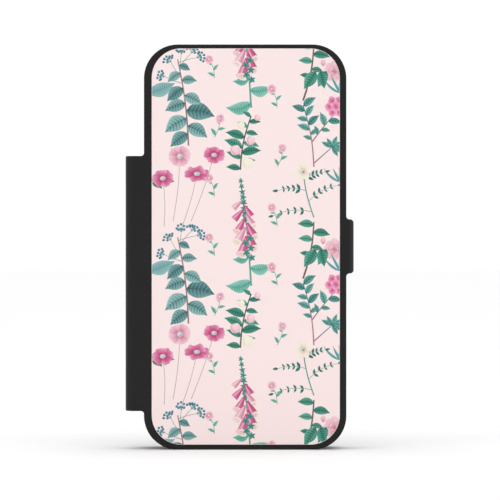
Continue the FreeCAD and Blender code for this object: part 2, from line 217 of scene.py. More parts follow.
def strip_section(lo, hi, thick, edge_r):
    """A strip's cross-section as (depth, z): rounded at the outer face, slightly eased at the inner one."""
    r, inner, steps = min(edge_r, thick * 0.45), min(0.12, thick * 0.3), 4
    quarter = [math.pi / 2 * k / steps for k in range(steps + 1)]
    rows = [lo + r + (hi - lo - 2 * r) * k / STRIP_ROWS for k in range(1, STRIP_ROWS)]
    corner = [(r * (1 - math.cos(a)), hi - r * (1 - math.sin(a))) for a in quarter]
    low = [(r * (1 - math.cos(a)), lo + r * (1 - math.sin(a))) for a in quarter][::-1]
    return (low + [(0.0, z) for z in rows] + corner + [(thick - inner, hi), (thick, hi - inner)]
            + [(thick, z) for z in reversed(rows)] + [(thick, lo + inner), (thick - inner, lo)])


def strip(name, path, z0, z1, thick, edge_r, material, side=1, end_shape=None):
    """A band swept along a path in the X-Y plane. Its outer face lies on the path and side says which way it
    thickens. thick may depend on the share of the path, and end_shape(share) trims its height."""
    verts, faces, count = [], [], 0
    last = len(path) - 1
    for i, ((x, y), (nx, ny)) in enumerate(zip(path, path_frames(path))):
        share = i / last
        t = thick(share) if callable(thick) else thick
        trim = end_shape(share) if end_shape else 0.0
        section = strip_section(z0 + trim, z1 - trim, t, edge_r)
        count = len(section)
        verts += [(x + nx * depth * side, y + ny * depth * side, z) for depth, z in section]
    for i in range(last):
        for k in range(count):
            a, b = i * count + k, i * count + (k + 1) % count
            faces.append((a, b, b + count, a + count))
    for i in (0, last):
        faces.append(tuple(i * count + k for k in range(count)))
    return make_mesh(name, verts, faces, material)


# ---------------------------------------------------------------- materials
def lin(rgb):
    """Linear colour from 8-bit sRGB."""
    shares = [c / 255 for c in rgb]
    return tuple(c / 12.92 if c <= 0.04045 else ((c + 0.055) / 1.055) ** 2.4 for c in shares)


def palette(*shades):
    return tuple(lin(shade) for shade in shades)


class Nodes:
    def __init__(self, name, **sockets):
        self.mat = bpy.data.materials.new(name)
        self.mat.use_nodes = True
        self.tree = self.mat.node_tree
        self.bsdf = self.tree.nodes["Principled BSDF"]
        for key, value in sockets.items():
            self.bsdf.inputs[key.replace("_", " ")].default_value = value

    def add(self, kind, **props):
        node = self.tree.nodes.new(kind)
        for key, value in props.items():
            setattr(node, key, value)
        return node

    def link(self, a, b):
        self.tree.links.new(a, b)

    def coords(self, scale=(1, 1, 1)):
        tc = self.add("ShaderNodeTexCoord")
        mp = self.add("ShaderNodeMapping")
        mp.inputs["Scale"].default_value = scale
        self.link(tc.outputs["Object"], mp.inputs["Vector"])
        return mp.outputs["Vector"]

    def noise(self, vector, scale, detail=4, rough=0.55):
        n = self.add("ShaderNodeTexNoise")
        n.inputs["Scale"].default_value = scale
        n.inputs["Detail"].default_value = detail
        n.inputs["Roughness"].default_value = rough
        self.link(vector, n.inputs["Vector"])
        return n.outputs["Fac"]

    def voronoi(self, vector, scale, feature):
        n = self.add("ShaderNodeTexVoronoi", feature=feature)
        n.inputs["Scale"].default_value = scale
        self.link(vector, n.inputs["Vector"])
        return n.outputs["Distance"]

    def ramp(self, fac, stops):
        r = self.add("ShaderNodeValToRGB")
        r.color_ramp.elements[0].position, r.color_ramp.elements[0].color = stops[0][0], (*stops[0][1], 1)
        r.color_ramp.elements[1].position, r.color_ramp.elements[1].color = stops[-1][0], (*stops[-1][1], 1)
        for pos, col in stops[1:-1]:
            e = r.color_ramp.elements.new(pos)
            e.color = (*col, 1)
        self.link(fac, r.inputs["Fac"])
        return r.outputs["Color"]

    def range(self, fac, a, b, lo=0.0, hi=1.0):
        m = self.add("ShaderNodeMapRange")
        for key, value in (("From Min", lo), ("From Max", hi), ("To Min", a), ("To Max", b)):
            m.inputs[key].default_value = value
        self.link(fac, m.inputs["Value"])
        return m.outputs["Result"]

    def math(self, op, a, b):
        m = self.add("ShaderNodeMath", operation=op)
        for k, v in enumerate((a, b)):
            if isinstance(v, (int, float)):
                m.inputs[k].default_value = v
            else:
                self.link(v, m.inputs[k])
        return m.outputs["Value"]

    def mix(self, fac, a, b, blend="MIX"):
        m = self.add("ShaderNodeMix", data_type="RGBA", blend_type=blend)
        for socket, v in ((m.inputs[0], fac), (m.inputs[6], a), (m.inputs[7], b)):
            if isinstance(v, (int, float)):
                socket.default_value = v
            elif isinstance(v, tuple):
                socket.default_value = (*v, 1)
            else:
                self.link(v, socket)
        return m.outputs[2]

    def bump(self, height, distance, strength=1.0, normal=None):
        b = self.add("ShaderNodeBump")
        b.inputs["Strength"].default_value = strength
        b.inputs["Distance"].default_value = distance
        self.link(height, b.inputs["Height"])
        if normal:
            self.link(normal, b.inputs["Normal"])
        return b.outputs["Normal"]

    def out(self, **links):
        for key, socket in links.items():
            self.link(socket, self.bsdf.inputs[key.replace("_", " ")])
        return self.mat


def grey(v):
    return (v, v, v)


def leather(name, base=0.0105, cell=1500, rough=(0.42, 0.58), depth=0.00007, reflection_tint=(1.0, 1.0, 1.0)):
    """Fine-grained synthetic leather: pebbled cells, finer creases between them with painted shade in them,
    slight cloudy tone; a tint, where given, is a painted reflection.
    """
    n = Nodes(name, Specular_IOR_Level=0.2, Sheen_Weight=0.02, Sheen_Roughness=0.5)
    v = n.coords()
    cells = n.voronoi(v, cell, "SMOOTH_F1")
    creases = n.voronoi(v, cell * 0.62, "DISTANCE_TO_EDGE")
    fine = n.noise(v, cell * 2.2, 3)
    broad = n.noise(v, 45, 4)
    pebbles = n.math("MULTIPLY", cells, -0.6)
    gaps = n.math("MULTIPLY", n.range(creases, 0, 1, 0, 0.12), 0.5)
    height = n.math("ADD", n.math("ADD", pebbles, gaps), n.math("MULTIPLY", fine, 0.25))
    dark, light = (tuple(base * share * c for c in reflection_tint) for share in (0.86, 1.14))
    tone = n.ramp(broad, [(0.3, dark), (0.7, light)])
    # Painted shade: the colour darkens along the creases' grooves.
    crease_shade = n.range(creases, 0.72, 1.0, 0, 0.08)
    colour = n.mix(1.0, tone, n.ramp(crease_shade, [(0.0, grey(0.0)), (1.0, grey(1.0))]), "MULTIPLY")
    wear = n.math("ADD", n.math("MULTIPLY", broad, 0.5), n.math("MULTIPLY", fine, 0.5))
    return n.out(Base_Color=colour, Roughness=n.range(wear, *rough, 0.3, 0.7),
                 Normal=n.bump(height, depth, 0.55))


def suede(name, base=(0.034, 0.034, 0.037)):
    n = Nodes(name, Specular_IOR_Level=0.2, Sheen_Weight=0.35, Sheen_Roughness=0.4)
    v = n.coords()
    nap = n.noise(n.coords((1, 1, 0.35)), 5200, 5, 0.7)
    cloud = n.noise(v, 70, 5, 0.6)
    a, b = tuple(c * 0.75 for c in base), tuple(c * 1.5 for c in base)
    colour = n.mix(n.range(nap, 0, 1, 0.3, 0.7), a, b)
    colour = n.mix(0.5, colour, n.ramp(cloud, [(0.35, a), (0.65, b)]))
    return n.out(Base_Color=colour, Roughness=n.range(nap, 0.85, 0.98), Normal=n.bump(nap, 0.00012, 0.8))


def moulded(name, base=0.02, rough=(0.4, 0.5), spark=3800):
    n = Nodes(name, Specular_IOR_Level=0.5)
    v = n.coords()
    spark_noise = n.noise(v, spark, 3, 0.6)
    flow = n.noise(n.coords((1, 1, 0.25)), 60, 4)
    colour = n.ramp(flow, [(0.3, grey(base * 0.88)), (0.7, grey(base * 1.15))])
    bevel = n.add("ShaderNodeBevel", samples=6)
    bevel.inputs["Radius"].default_value = 0.00025
    return n.out(Base_Color=colour, Roughness=n.range(spark_noise, *rough, 0.3, 0.7),
                 Normal=n.bump(spark_noise, 0.00002, 0.5, bevel.outputs["Normal"]))


def cardboard(name):
    n = Nodes(name, Specular_IOR_Level=0.2)
    fibre = n.noise(n.coords((1, 1, 0.2)), 2600, 5, 0.65)
    fleck = n.noise(n.coords(), 400, 4)
    colour = n.mix(n.range(fleck, 0, 1, 0.35, 0.65), lin((128, 116, 98)), lin((158, 146, 124)))
    colour = n.mix(n.range(fibre, 0, 0.5), colour, lin((104, 94, 80)))
    return n.out(Base_Color=colour, Roughness=n.range(fibre, 0.8, 0.95), Normal=n.bump(fibre, 0.00005, 0.6))


def steel(name, tone=(0.52, 0.53, 0.54), rough=(0.25, 0.4), brushed=True):
    n = Nodes(name, Metallic=1.0)
    line_noise = n.noise(n.coords((1, 1, 40) if brushed else (1, 1, 1)), 900, 4)
    colour = n.ramp(line_noise, [(0.3, tuple(c * 0.85 for c in tone)), (0.7, tone)])
    return n.out(Base_Color=colour, Roughness=n.range(line_noise, *rough),
                 Normal=n.bump(line_noise, 0.00001, 0.4))


def woven(name, base=(0.03, 0.03, 0.032), pitch=2200):
    n = Nodes(name, Specular_IOR_Level=0.25, Sheen_Weight=0.2)
    v = n.coords()
    a = n.add("ShaderNodeTexWave", bands_direction="X", wave_profile="SIN")
    b = n.add("ShaderNodeTexWave", bands_direction="Z", wave_profile="SIN")
    for w in (a, b):
        w.inputs["Scale"].default_value = pitch / 6
        n.link(v, w.inputs["Vector"])
    weave = n.math("MAXIMUM", a.outputs["Fac"], b.outputs["Fac"])
    colour = n.mix(weave, tuple(c * 0.5 for c in base), tuple(c * 1.6 for c in base))
    return n.out(Base_Color=colour, Roughness=n.range(weave, 0.9, 0.7), Normal=n.bump(weave, 0.00006, 0.8))


def adhesive(name):
    n = Nodes(name, Specular_IOR_Level=0.5, Transmission_Weight=0.3)
    swirl = n.noise(n.coords(), 300, 5)
    colour = n.mix(swirl, lin((206, 200, 182)), lin((226, 222, 208)))
    return n.out(Base_Color=colour, Roughness=n.range(swirl, 0.25, 0.5), Normal=n.bump(swirl, 0.00004, 0.5))


def print_material(name):
    """The printed sheet: the drawing's colour, the pigment's slight mottle, and a smooth coated surface."""
    n = Nodes(name, Specular_IOR_Level=0.32, Coat_Weight=0.06, Coat_Roughness=0.35)
    drawn = n.add("ShaderNodeVertexColor", layer_name="print")
    v = n.coords()
    wash = n.noise(v, 900, 5, 0.65)
    speck = n.noise(v, 4200, 2)
    amount = n.range(wash, 0.93, 1.07, 0.3, 0.7)
    scaled = n.add("ShaderNodeVectorMath", operation="SCALE")
    n.link(drawn.outputs["Color"], scaled.inputs[0])
    # Pale ground takes almost no mottle; pigment takes more.
    luma = n.add("ShaderNodeRGBToBW")
    n.link(drawn.outputs["Color"], luma.inputs["Color"])
    ink = n.range(luma.outputs["Val"], 1.0, 0.06, 0.25, 0.78)
    factor = n.math("ADD", 1.0, n.math("MULTIPLY", n.math("SUBTRACT", amount, 1.0), ink))
    n.link(factor, scaled.inputs["Scale"])
    return n.out(Base_Color=scaled.outputs["Vector"], Roughness=n.range(speck, 0.38, 0.5),
                 Normal=n.bump(speck, 0.000012, 0.35))


MAT = {
    "skin": leather("skin_leather"),
    # The strap is the same black leather; this copy is painted lighter and bluer, a painted reflection of the
    # surroundings.
    "strap": leather("strap_leather", base=0.0155, reflection_tint=(1.0, 0.97, 1.22)),
    "pocket": leather("pocket_leather", base=0.018, cell=2300, rough=(0.5, 0.62), depth=0.00004),
    "suede": suede("lining_suede"),
    "strap_lining": suede("strap_lining"),
    "tray": moulded("tray_plastic"),
    "button": moulded("button_plastic", base=0.026, rough=(0.45, 0.55)),
    "board": cardboard("board"),
    "steel": steel("keeper_steel"),
    "nickel": steel("magnet_nickel", (0.7, 0.69, 0.66), (0.12, 0.2), brushed=False),
    "tape": woven("seam_fabric"),
    "glue": adhesive("glue_film"),
    "thread": woven("stitch_thread", (0.06, 0.06, 0.064), 5000),
    "print": print_material("print_leather"),
}


def dress(node, material):
    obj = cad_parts[node]
    for s in obj.material_slots:
        s.link = "OBJECT"
        s.material = material


for node, key in (("phone_tray", "tray"), ("volume_up_button", "button"), ("volume_down_button", "button"),
                  ("power_button", "button"), ("front_board", "board"), ("back_board", "board"),
                  ("tray_glue", "glue"), ("keeper_plate", "steel"), ("strap_magnets", "nickel"),
                  ("pocket_seams", "tape")):
    dress(node, MAT[key])


# ---------------------------------------------------------------- the print: wild flowers drawn in mm
# u runs right from the panel's left edge and v down from its top edge. One repeat is PERIOD tall.
PANEL_W = PANEL_HI[0] - PANEL_LO[0]
PANEL_H = PANEL_HI[2] - PANEL_LO[2]
PERIOD = 66.0
PRINT_SEED = 7
GROUND = lin((251, 232, 231))

DUSTY = palette((44, 88, 94), (82, 134, 136), (150, 194, 188))
TEAL = palette((30, 100, 98), (68, 142, 132), (140, 196, 184))
DEEP = palette((18, 88, 78), (48, 132, 112), (110, 182, 160))
MINT = palette((62, 144, 128), (106, 180, 162), (156, 210, 196))
LEAFLET = palette((16, 78, 72), (46, 120, 108), (120, 174, 160))
SLATE = palette((92, 146, 150), (124, 172, 174), (160, 198, 196))
BLADE = palette((60, 128, 134), (98, 168, 168), (158, 206, 202))
HOT = palette((178, 52, 108), (214, 106, 152), (238, 172, 198))
BLUSH = palette((206, 116, 148), (234, 178, 196), (245, 212, 220))
PETAL = palette((206, 130, 150), (236, 188, 200), (247, 220, 224))
CREAM = palette((236, 206, 192), (240, 236, 214), (246, 240, 222))
AZALEA = palette((206, 84, 138), (230, 140, 178), (244, 190, 212))
BERRY = palette((18, 84, 104), (40, 122, 138), (120, 180, 190))
EYE = palette((150, 150, 152), (206, 206, 206), (238, 236, 236))
ROSEWOOD = lin((158, 112, 112))
REDWOOD = lin((186, 108, 128))
TWIG = lin((112, 92, 84))
REED = lin((184, 168, 162))
MOSS = lin((98, 160, 140))
SAP = lin((88, 172, 146))


def mixc(a, b, t):
    t = min(max(t, 0.0), 1.0)
    return tuple(x + (y - x) * t for x, y in zip(a, b))


def three(pal, t):
    return mixc(pal[0], pal[1], t * 2) if t < 0.5 else mixc(pal[1], pal[2], t * 2 - 1)


def axes(start, end):
    """The length from start to end, and unit vectors along that way and across it."""
    du, dv = end[0] - start[0], end[1] - start[1]
    length = math.hypot(du, dv)
    return length, du / length, dv / length, -dv / length, du / length


class Drawing:
    """Shapes in order, the last on top: each is a simple polygon and a colour as a function of place."""

    def __init__(self):
        self.shapes = []
        self.rng = random.Random(PRINT_SEED)
        self.shift = 0.0

    def vary(self, value, share):
        return value * (1 + self.rng.uniform(-share, share))

    def poly(self, pts, colour):
        pts = [(u, v + self.shift) for u, v in pts]
        lo = min(v for _, v in pts)
        hi = max(v for _, v in pts)
        left = min(u for u, _ in pts)
        right = max(u for u, _ in pts)
        if hi < -0.5 or lo > PANEL_H + 0.5 or right < -0.5 or left > PANEL_W + 0.5:
            return
        area = sum(a[0] * b[1] - b[0] * a[1] for a, b in zip(pts, pts[1:] + pts[:1]))
        if abs(area) < 0.004:
            return
        shift = self.shift
        fn = colour if callable(colour) else (lambda u, v, c=colour: c)
        self.shapes.append((pts if area > 0 else pts[::-1], lambda u, v: fn(u, v - shift)))

    def stroke(self, pts, w0, w1, c0, c1=None, smooth=True):
        """A brush line along points, as a chain of short pieces."""
        c1 = c1 or c0
        if smooth and len(pts) > 2:
            pts = spline(pts, 5)
        n = len(pts) - 1
        left, right = [], []
        for i, (u, v) in enumerate(pts):
            a, b = pts[max(i - 1, 0)], pts[min(i + 1, n)]
            du, dv = b[0] - a[0], b[1] - a[1]
            length = math.hypot(du, dv) or 1.0
            w = (w0 + (w1 - w0) * i / n) / 2
            left.append((u - dv / length * w, v + du / length * w))
            right.append((u + dv / length * w, v - du / length * w))
        for i in range(n):
            c = mixc(c0, c1, i / max(n, 1))
            self.poly([left[i], left[i + 1], right[i + 1], right[i]], c)

    def disc(self, u, v, r, pal, squash=1.0, sides=12):
        pts = [(u + r * math.cos(2 * math.pi * k / sides), v + r * squash * math.sin(2 * math.pi * k / sides))
               for k in range(sides)]
        self.poly(pts, lambda x, y: three(pal, 0.5 - ((x - u) + (y - v)) / (3.2 * r)))

    def leaf(self, base, tip, width, pal, bow=0.0, veins=5, belly=0.42, tone=0.0):
        """A leaf in two halves with a rib, side veins and paler panels between them."""
        bu, bv = base
        length, du, dv, nu, nv = axes(base, tip)
        g = math.log(0.5) / math.log(belly)

        def spine(t):
            s = bow * length * 4 * t * (1 - t)
            return (bu + du * length * t + nu * s, bv + dv * length * t + nv * s)

        def half(t):
            return width / 2 * max(math.sin(math.pi * min(max(t, 0), 1) ** g), 0) ** (0.7 + 0.55 * t)

        def at(t, side, share=1.0):
            p = spine(t)
            w = half(t) * side * share
            return (p[0] + nu * w, p[1] + nv * w)

        def local(u, v):
            x, y = u - bu, v - bv
            t = (x * du + y * dv) / length
            s = x * nu + y * nv - bow * length * 4 * t * (1 - t)
            return t, s / max(half(t), 0.05)

        steps = 11 if length > 6 else 8 if length > 3 else 5
        veins = veins if length > 2.4 else 0
        for side in (-1, 1):
            margin = [at(k / steps, side) for k in range(1, steps)]
            ribline = [spine(k / steps) for k in range(steps + 1)]
            lift = 0.12 if side == 1 else -0.06

            def colour(u, v, lift=lift):
                t, s = local(u, v)
                mottle = 0.08 * math.sin(9 * t + 2 * s)
                return three(pal, 0.2 + 0.52 * min(abs(s), 1) ** 1.3 + lift + tone + mottle)

            self.poly(ribline + margin[::-1], colour)
        for side in (-1, 1):
            for k in range(veins):
                t0 = 0.08 + 0.74 * k / veins
                step = 0.74 / veins
                a, b = spine(t0 + step * 0.30), spine(t0 + step * 0.86)
                c, d = at(t0 + step * 1.55, side, 0.86), at(t0 + step * 1.02, side, 0.90)
                strength = 0.26 if side == 1 else 0.16
                near, far = three(pal, 0.30 + strength + tone), three(pal, 0.62 + strength + tone)
                self.poly([a, b, c, d], lambda u, v, n=near, f=far: mixc(n, f, abs(local(u, v)[1])))
                self.stroke([spine(t0), at(t0 + step * 1.0, side, 0.86)],
                            width * 0.022 + 0.05, 0.04, three(pal, 0.02 + tone), three(pal, 0.25 + tone),
                            smooth=False)
        self.stroke([spine(t) for t in (0, 0.2, 0.4, 0.6, 0.8, 0.96)], width * 0.04 + 0.09, 0.06,
                    three(pal, 0.0), three(pal, 0.25), smooth=False)

    def blade(self, base, tip, width, pal, bow=0.0):
        self.leaf(base, tip, width, pal, bow, veins=0, belly=0.38)

    def petal(self, base, tip, width, pal, streaks=3, belly=0.66, notch=0.0, deep=0.0):
        """A petal, deeper at its base, with fine streaks running out of it."""
        bu, bv = base
        length, du, dv, nu, nv = axes(base, tip)

        def half(t):
            if t < belly:
                return width / 2 * (0.14 + 0.86 * math.sin(math.pi / 2 * t / belly) ** 1.15)
            return width / 2 * math.sqrt(max(1 - ((t - belly) / (1 - belly)) ** 2.4, 0))

        def at(t, share):
            s = half(t) * share
            return (bu + du * length * t + nu * s, bv + dv * length * t + nv * s)

        ts = [0, 0.15, 0.3, 0.45, 0.6, 0.72, 0.84, 0.93, 0.985]
        end = at(1 - notch, 0)
        outline = [at(t, 1) for t in ts] + [end] + [at(t, -1) for t in reversed(ts)]

        def colour(u, v):
            t = ((u - bu) * du + (v - bv) * dv) / length
            s = ((u - bu) * nu + (v - bv) * nv) / (width / 2)
            return three(pal, 0.10 - deep + 0.85 * t + 0.10 * s)

        self.poly(outline, colour)
        for k in range(streaks):
            share = 0 if streaks == 1 else -0.6 + 1.2 * k / (streaks - 1)
            streak = [at(0.08, share * 0.6), at(0.45, share * 0.85), at(0.82, share)]
            self.stroke(streak, width * 0.05 + 0.03, 0.03, three(pal, 0.05 - deep), three(pal, 0.55 - deep),
                        smooth=False)

    def daisy(self, u, v, r, pal, n=8, squash=1.0, turn=0.0, lean=0.0):
        """An open flower seen at a slant: squash flattens it and turn rotates it."""
        ca, sa = math.cos(lean), math.sin(lean)

        def place(x, y):
            y *= squash
            return (u + x * ca - y * sa, v + x * sa + y * ca)

        order = sorted(range(n), key=lambda k: (k * 5) % n)
        for k in order:
            a = turn + 2 * math.pi * k / n + self.rng.uniform(-0.08, 0.08)
            reach = r * self.rng.uniform(0.92, 1.04)
            base = place(r * 0.12 * math.cos(a), r * 0.12 * math.sin(a))
            tip = place(reach * math.cos(a), reach * math.sin(a))
            flat = math.hypot(tip[0] - base[0], tip[1] - base[1]) / reach
            slant = squash if abs(math.cos(a)) > 0.7 else 1.0
            across = 1.85 * r * math.sin(math.pi / n) * (0.55 + 0.45 * slant)
            self.petal(base, tip, across * (0.75 + 0.25 / max(flat, 0.5)), pal, streaks=3, belly=0.74,
                       notch=0.09, deep=0.17 if k % 2 else -0.03)
        eye_r = r * 0.24
        self.disc(u, v, eye_r, EYE, squash=max(squash, 0.7), sides=14)
        for k in range(11):
            a = 2 * math.pi * k / 11 + 0.3
            x, y = place(eye_r * 0.92 * math.cos(a), eye_r * 0.92 * math.sin(a))
            self.disc(x, y, r * 0.045, (EYE[0], EYE[1], EYE[1]), sides=6)

    def bell(self, base, mouth, width, pal, lip):
        """A hanging tube flower: narrow at its stalk, flaring to a pale spotted lip."""
        bu, bv = base
        length, du, dv, nu, nv = axes(base, mouth)

        def at(t, share):
            s = width / 2 * (0.28 + 0.62 * min(t * 1.5, 1) ** 1.2 + 0.16 * max(t - 0.75, 0) * 4) * share
            return (bu + du * length * t + nu * s, bv + dv * length * t + nv * s)

        ts = [0, 0.12, 0.26, 0.42, 0.58, 0.74, 0.9, 1.0]

        def colour(u, v):
            t = ((u - bu) * du + (v - bv) * dv) / length
            s = ((u - bu) * nu + (v - bv) * nv) / (width / 2)
            return three(pal, 0.12 + 0.35 * t + 0.42 * max(s, 0) - 0.1 * max(-s, 0))

        self.poly([at(t, 1) for t in ts] + [at(t, -1) for t in reversed(ts)], colour)
        highlight = [at(t, 0.5) for t in ts[1:-1]] + [at(t, 0.1) for t in reversed(ts[1:-1])]
        self.poly(highlight, pal[2])
        self.stroke([at(0.1, -0.55), at(0.5, -0.6), at(0.9, -0.6)], 0.14, 0.2, pal[0], pal[0])
        self.stroke([at(0.25, 0.75), at(0.9, 0.8)], 0.1, 0.12, pal[1], pal[0])
        if lip:
            cu, cv = at(1.0, 0)
            ring = []
            for k in range(14):
                a = 2 * math.pi * k / 14
                wob = 1 + 0.10 * math.cos(3 * a)
                x, y = width * 0.60 * math.cos(a) * wob, width * 0.36 * math.sin(a) * wob
                ring.append((cu + nu * x + du * y, cv + nv * x + dv * y))

            def rim_colour(u, v):
                across = ((u - cu) * nu + (v - cv) * nv) / width
                return mixc(lip[2], pal[2], 0.35 + 0.5 * across)

            self.poly(ring, rim_colour)
            inner = [(cu + (x - cu) * 0.66, cv + (y - cv) * 0.62) for x, y in ring]
            self.poly(inner, mixc(lip[1], pal[1], 0.30))
            for k in range(4):
                x, y = width * (-0.2 + 0.13 * k), width * 0.08 * math.sin(2.1 * k)
                self.disc(cu + nu * x + du * y, cv + nv * x + dv * y, 0.12, (pal[0],) * 3, sides=6)

    def bud(self, u, v, r, pal, turn=0.0):
        """A round bud of overlapping petals."""
        ca, sa = math.cos(turn), math.sin(turn)

        def place(x, y):
            return (u + x * ca - y * sa, v + x * sa + y * ca)

        angles = [2 * math.pi * k / 18 for k in range(18)]
        ring = [place(r * math.cos(a), r * 0.94 * math.sin(a)) for a in angles]
        self.poly(ring, lambda x, y: three(pal, 0.78 - 0.36 * ((x - u) * 0.6 + (y - v)) / r))
        for shift, tall, shade in ((-0.36, 0.95, 0.55), (0.42, 0.92, 0.82), (0.04, 0.8, 0.95)):
            base, tip = place(shift * r * 0.5, r * 0.86), place(shift * r * 1.1, -r * tall)
            tone = (three(pal, shade - 0.45), three(pal, shade - 0.12), three(pal, min(shade + 0.1, 1)))
            self.petal(base, tip, r * 1.15, tone, streaks=2, belly=0.6)

    def star(self, u, v, r, pal, n=5, turn=0.0, w=0.5):
        for k in range(n):
            a = turn + 2 * math.pi * k / n
            self.leaf((u, v), (u + r * math.cos(a), v + r * math.sin(a)), r * w, pal, veins=0)


def between(a, b, c, d, t):
    """A Catmull-Rom spline's value between b and c."""
    bend2, bend3 = 2 * a - 5 * b + 4 * c - d, 3 * b - a - 3 * c + d
    return 0.5 * (2 * b + (c - a) * t + bend2 * t * t + bend3 * t ** 3)


def spline(pts, steps):
    out = []
    for i in range(len(pts) - 1):
        near = (pts[max(i - 1, 0)], pts[i], pts[i + 1], pts[min(i + 2, len(pts) - 1)])
        for k in range(steps):
            out.append(tuple(between(*values, k / steps) for values in zip(*near)))
    return out + [pts[-1]]


def polar(p, angle, reach):
    return (p[0] + reach * math.cos(angle), p[1] + reach * math.sin(angle))


def stem_path(foot, height, lean, bend=0.0, steps=12):
    """A stem from its foot upwards: lean moves its tip sideways and bend bows its middle."""
    shares = [k / steps for k in range(steps + 1)]
    return [(foot[0] + lean * t + bend * math.sin(math.pi * t), foot[1] - height * t) for t in shares]


def twig_path(start, angle, reach, curl=0.0, steps=6):
    """A twig that leaves at an angle and turns by curl along its length."""
    path = [start]
    for k in range(steps):
        path.append(polar(path[-1], angle + curl * k / steps, reach / steps))
    return path


def along(path, share):
    """The point at a share of a path, and the path's heading there."""
    x = min(max(share, 0.0), 0.999) * (len(path) - 1)
    i = int(x)
    (au, av), (bu, bv) = path[i], path[i + 1]
    return (au + (bu - au) * (x - i), av + (bv - av) * (x - i)), math.atan2(bv - av, bu - au)


def sprout(d, p, angle, length, ratio, pal, veins=5, tone=0.0, bow=0.0):
    """One leaf growing from a point, with a little natural variation."""
    length = d.vary(length, 0.17)
    angle += d.rng.uniform(-0.24, 0.24)
    tone += d.rng.uniform(-0.14, 0.06)
    d.leaf(p, polar(p, angle, length), length * ratio, pal, bow, veins, tone=tone)


def foliage(d, path, pal, count, longest, ratio=0.48, spread=75, first=0.1, last=0.95, peak=0.3, veins=5):
    """Leaves in turn on each side of a stem, longest at peak and shorter towards both ends."""
    for k in range(count):
        share = first + (last - first) * k / max(count - 1, 1)
        side = 1 if k % 2 else -1
        p, heading = along(path, share)
        length = longest * (1 - 0.62 * abs(share - peak) / max(peak, 1 - peak))
        angle = heading + side * math.radians(spread)
        sprout(d, p, angle, length, ratio, pal, veins, tone=0.1 * (k % 3) - 0.04, bow=-side * 0.07)


def spray(d, start, angle, reach, pal, pairs=4, leaf=2.3, curl=0.4):
    """A fine twig with leaflets in pairs and one at its tip."""
    path = twig_path(start, angle, reach, curl)
    d.stroke(path, 0.22, 0.13, MOSS)
    for k in range(pairs):
        p, heading = along(path, 0.22 + 0.74 * k / pairs)
        for side in (-1, 1):
            sprout(d, p, heading + side * 0.95, leaf * (1 - 0.1 * k), 0.5, pal, veins=2)
    sprout(d, path[-1], along(path, 1.0)[1], leaf, 0.5, pal, veins=2)


def umbel(d, start, angle, reach, count=5, fan=1.5, r=0.5):
    """Berries on fine rays that open out from one point."""
    for k in range(count):
        tip = polar(start, angle + fan * (k / max(count - 1, 1) - 0.5), d.vary(reach, 0.2))
        d.stroke([start, tip], 0.14, 0.11, SLATE[0], MOSS, smooth=False)
        d.disc(*tip, r, BERRY, sides=9)
        d.disc(tip[0] - 0.13, tip[1] - 0.15, 0.15, (BERRY[2],) * 3, sides=6)


def floret(d, p, r, pal, n=5, centre=None, streaks=1):
    turn = d.rng.uniform(0, math.tau)
    for k in range(n):
        d.petal(p, polar(p, turn + math.tau * k / n, d.vary(r, 0.12)), r * 0.95, pal, streaks, belly=0.62,
                deep=0.12 * (k % 2) + d.rng.uniform(-0.05, 0.08))
    d.disc(*p, r * 0.2, centre or (pal[0],) * 3, sides=8)


def double_blossom(d, p, r, pal):
    """Rings of petals, each ring smaller, turned and deeper than the one under it."""
    for ring, (share, n) in enumerate(((1.0, 8), (0.74, 6), (0.48, 5), (0.28, 4))):
        for k in range(n):
            angle = math.tau * (k + 0.5 * ring) / n
            reach = d.vary(r * share, 0.06)
            d.petal(p, polar(p, angle, reach), 5.4 * reach / n, pal, 3, belly=0.62,
                    deep=0.05 + 0.09 * ring + 0.13 * (k % 2))


def rose_sprig(d, foot, height, lean):
    path = stem_path(foot, height, lean, bend=-0.6)
    d.stroke(path, 0.5, 0.35, SAP, LEAFLET[1])
    for k in range(4):
        p, heading = along(path, 0.12 + 0.23 * k)
        side = 1 if k % 2 else -1
        spray(d, p, heading + side * 1.05, height * (0.86 - 0.12 * k), LEAFLET, leaf=2.1, curl=side * 0.7)
    floret(d, path[-1], 3.0, CREAM, centre=(MINT[0], MINT[1], CREAM[1]), streaks=2)
    for k in range(11):
        a = math.tau * k / 11
        stamen = [polar(path[-1], a, 0.6), polar(path[-1], a, 1.3)]
        d.stroke(stamen, 0.16, 0.32, BLUSH[1], AZALEA[1], smooth=False)


def berry_branch(d, foot, height, lean):
    path = stem_path(foot, height, lean, bend=0.8)
    for k in range(5):
        start, _ = along(path, 0.72 + 0.06 * k)
        angle = math.radians(-165 + 36 * k)
        twig = twig_path(start, angle, height * 0.22, curl=0.25)
        d.stroke(twig, 0.24, 0.15, SLATE[0], MOSS)
        for ring, reach in enumerate((1.5, 2.5)):
            umbel(d, twig[-1], angle, reach, count=4 + ring, fan=1.7)
    d.stroke(path, 0.62, 0.4, ROSEWOOD)
    foliage(d, path, DUSTY, 10, 10.5, ratio=0.6, spread=116, first=0.14, last=0.93, peak=0.36, veins=6)


def blossom_branch(d, foot, height, lean):
    path = stem_path(foot, height, lean, bend=0.9)
    d.stroke(path, 0.72, 0.5, TWIG)
    foliage(d, path, DEEP, 5, 6.5, spread=98, first=0.42, last=0.95, peak=0.8, veins=6)
    p, heading = along(path, 0.5)
    twig = twig_path(p, heading + 1.25, height * 0.42, curl=0.3)
    d.stroke(twig, 0.35, 0.25, TWIG, MOSS)
    double_blossom(d, twig[-1], 4.3, PETAL)
    for share, droop in ((0.35, 1.9), (0.6, 1.45), (0.8, 2.3)):
        sprout(d, along(twig, 1 - share)[0], droop, 6.8, 0.56, DEEP, veins=6, tone=0.05)
    for side in (-1, 1):
        p = polar(twig[-1], -math.pi / 2 + side * 0.9, 5.4)
        d.petal(polar(p, math.pi / 2, 1.4), polar(p, -math.pi / 2, 1.4), 2.0, PETAL, 2, belly=0.48)


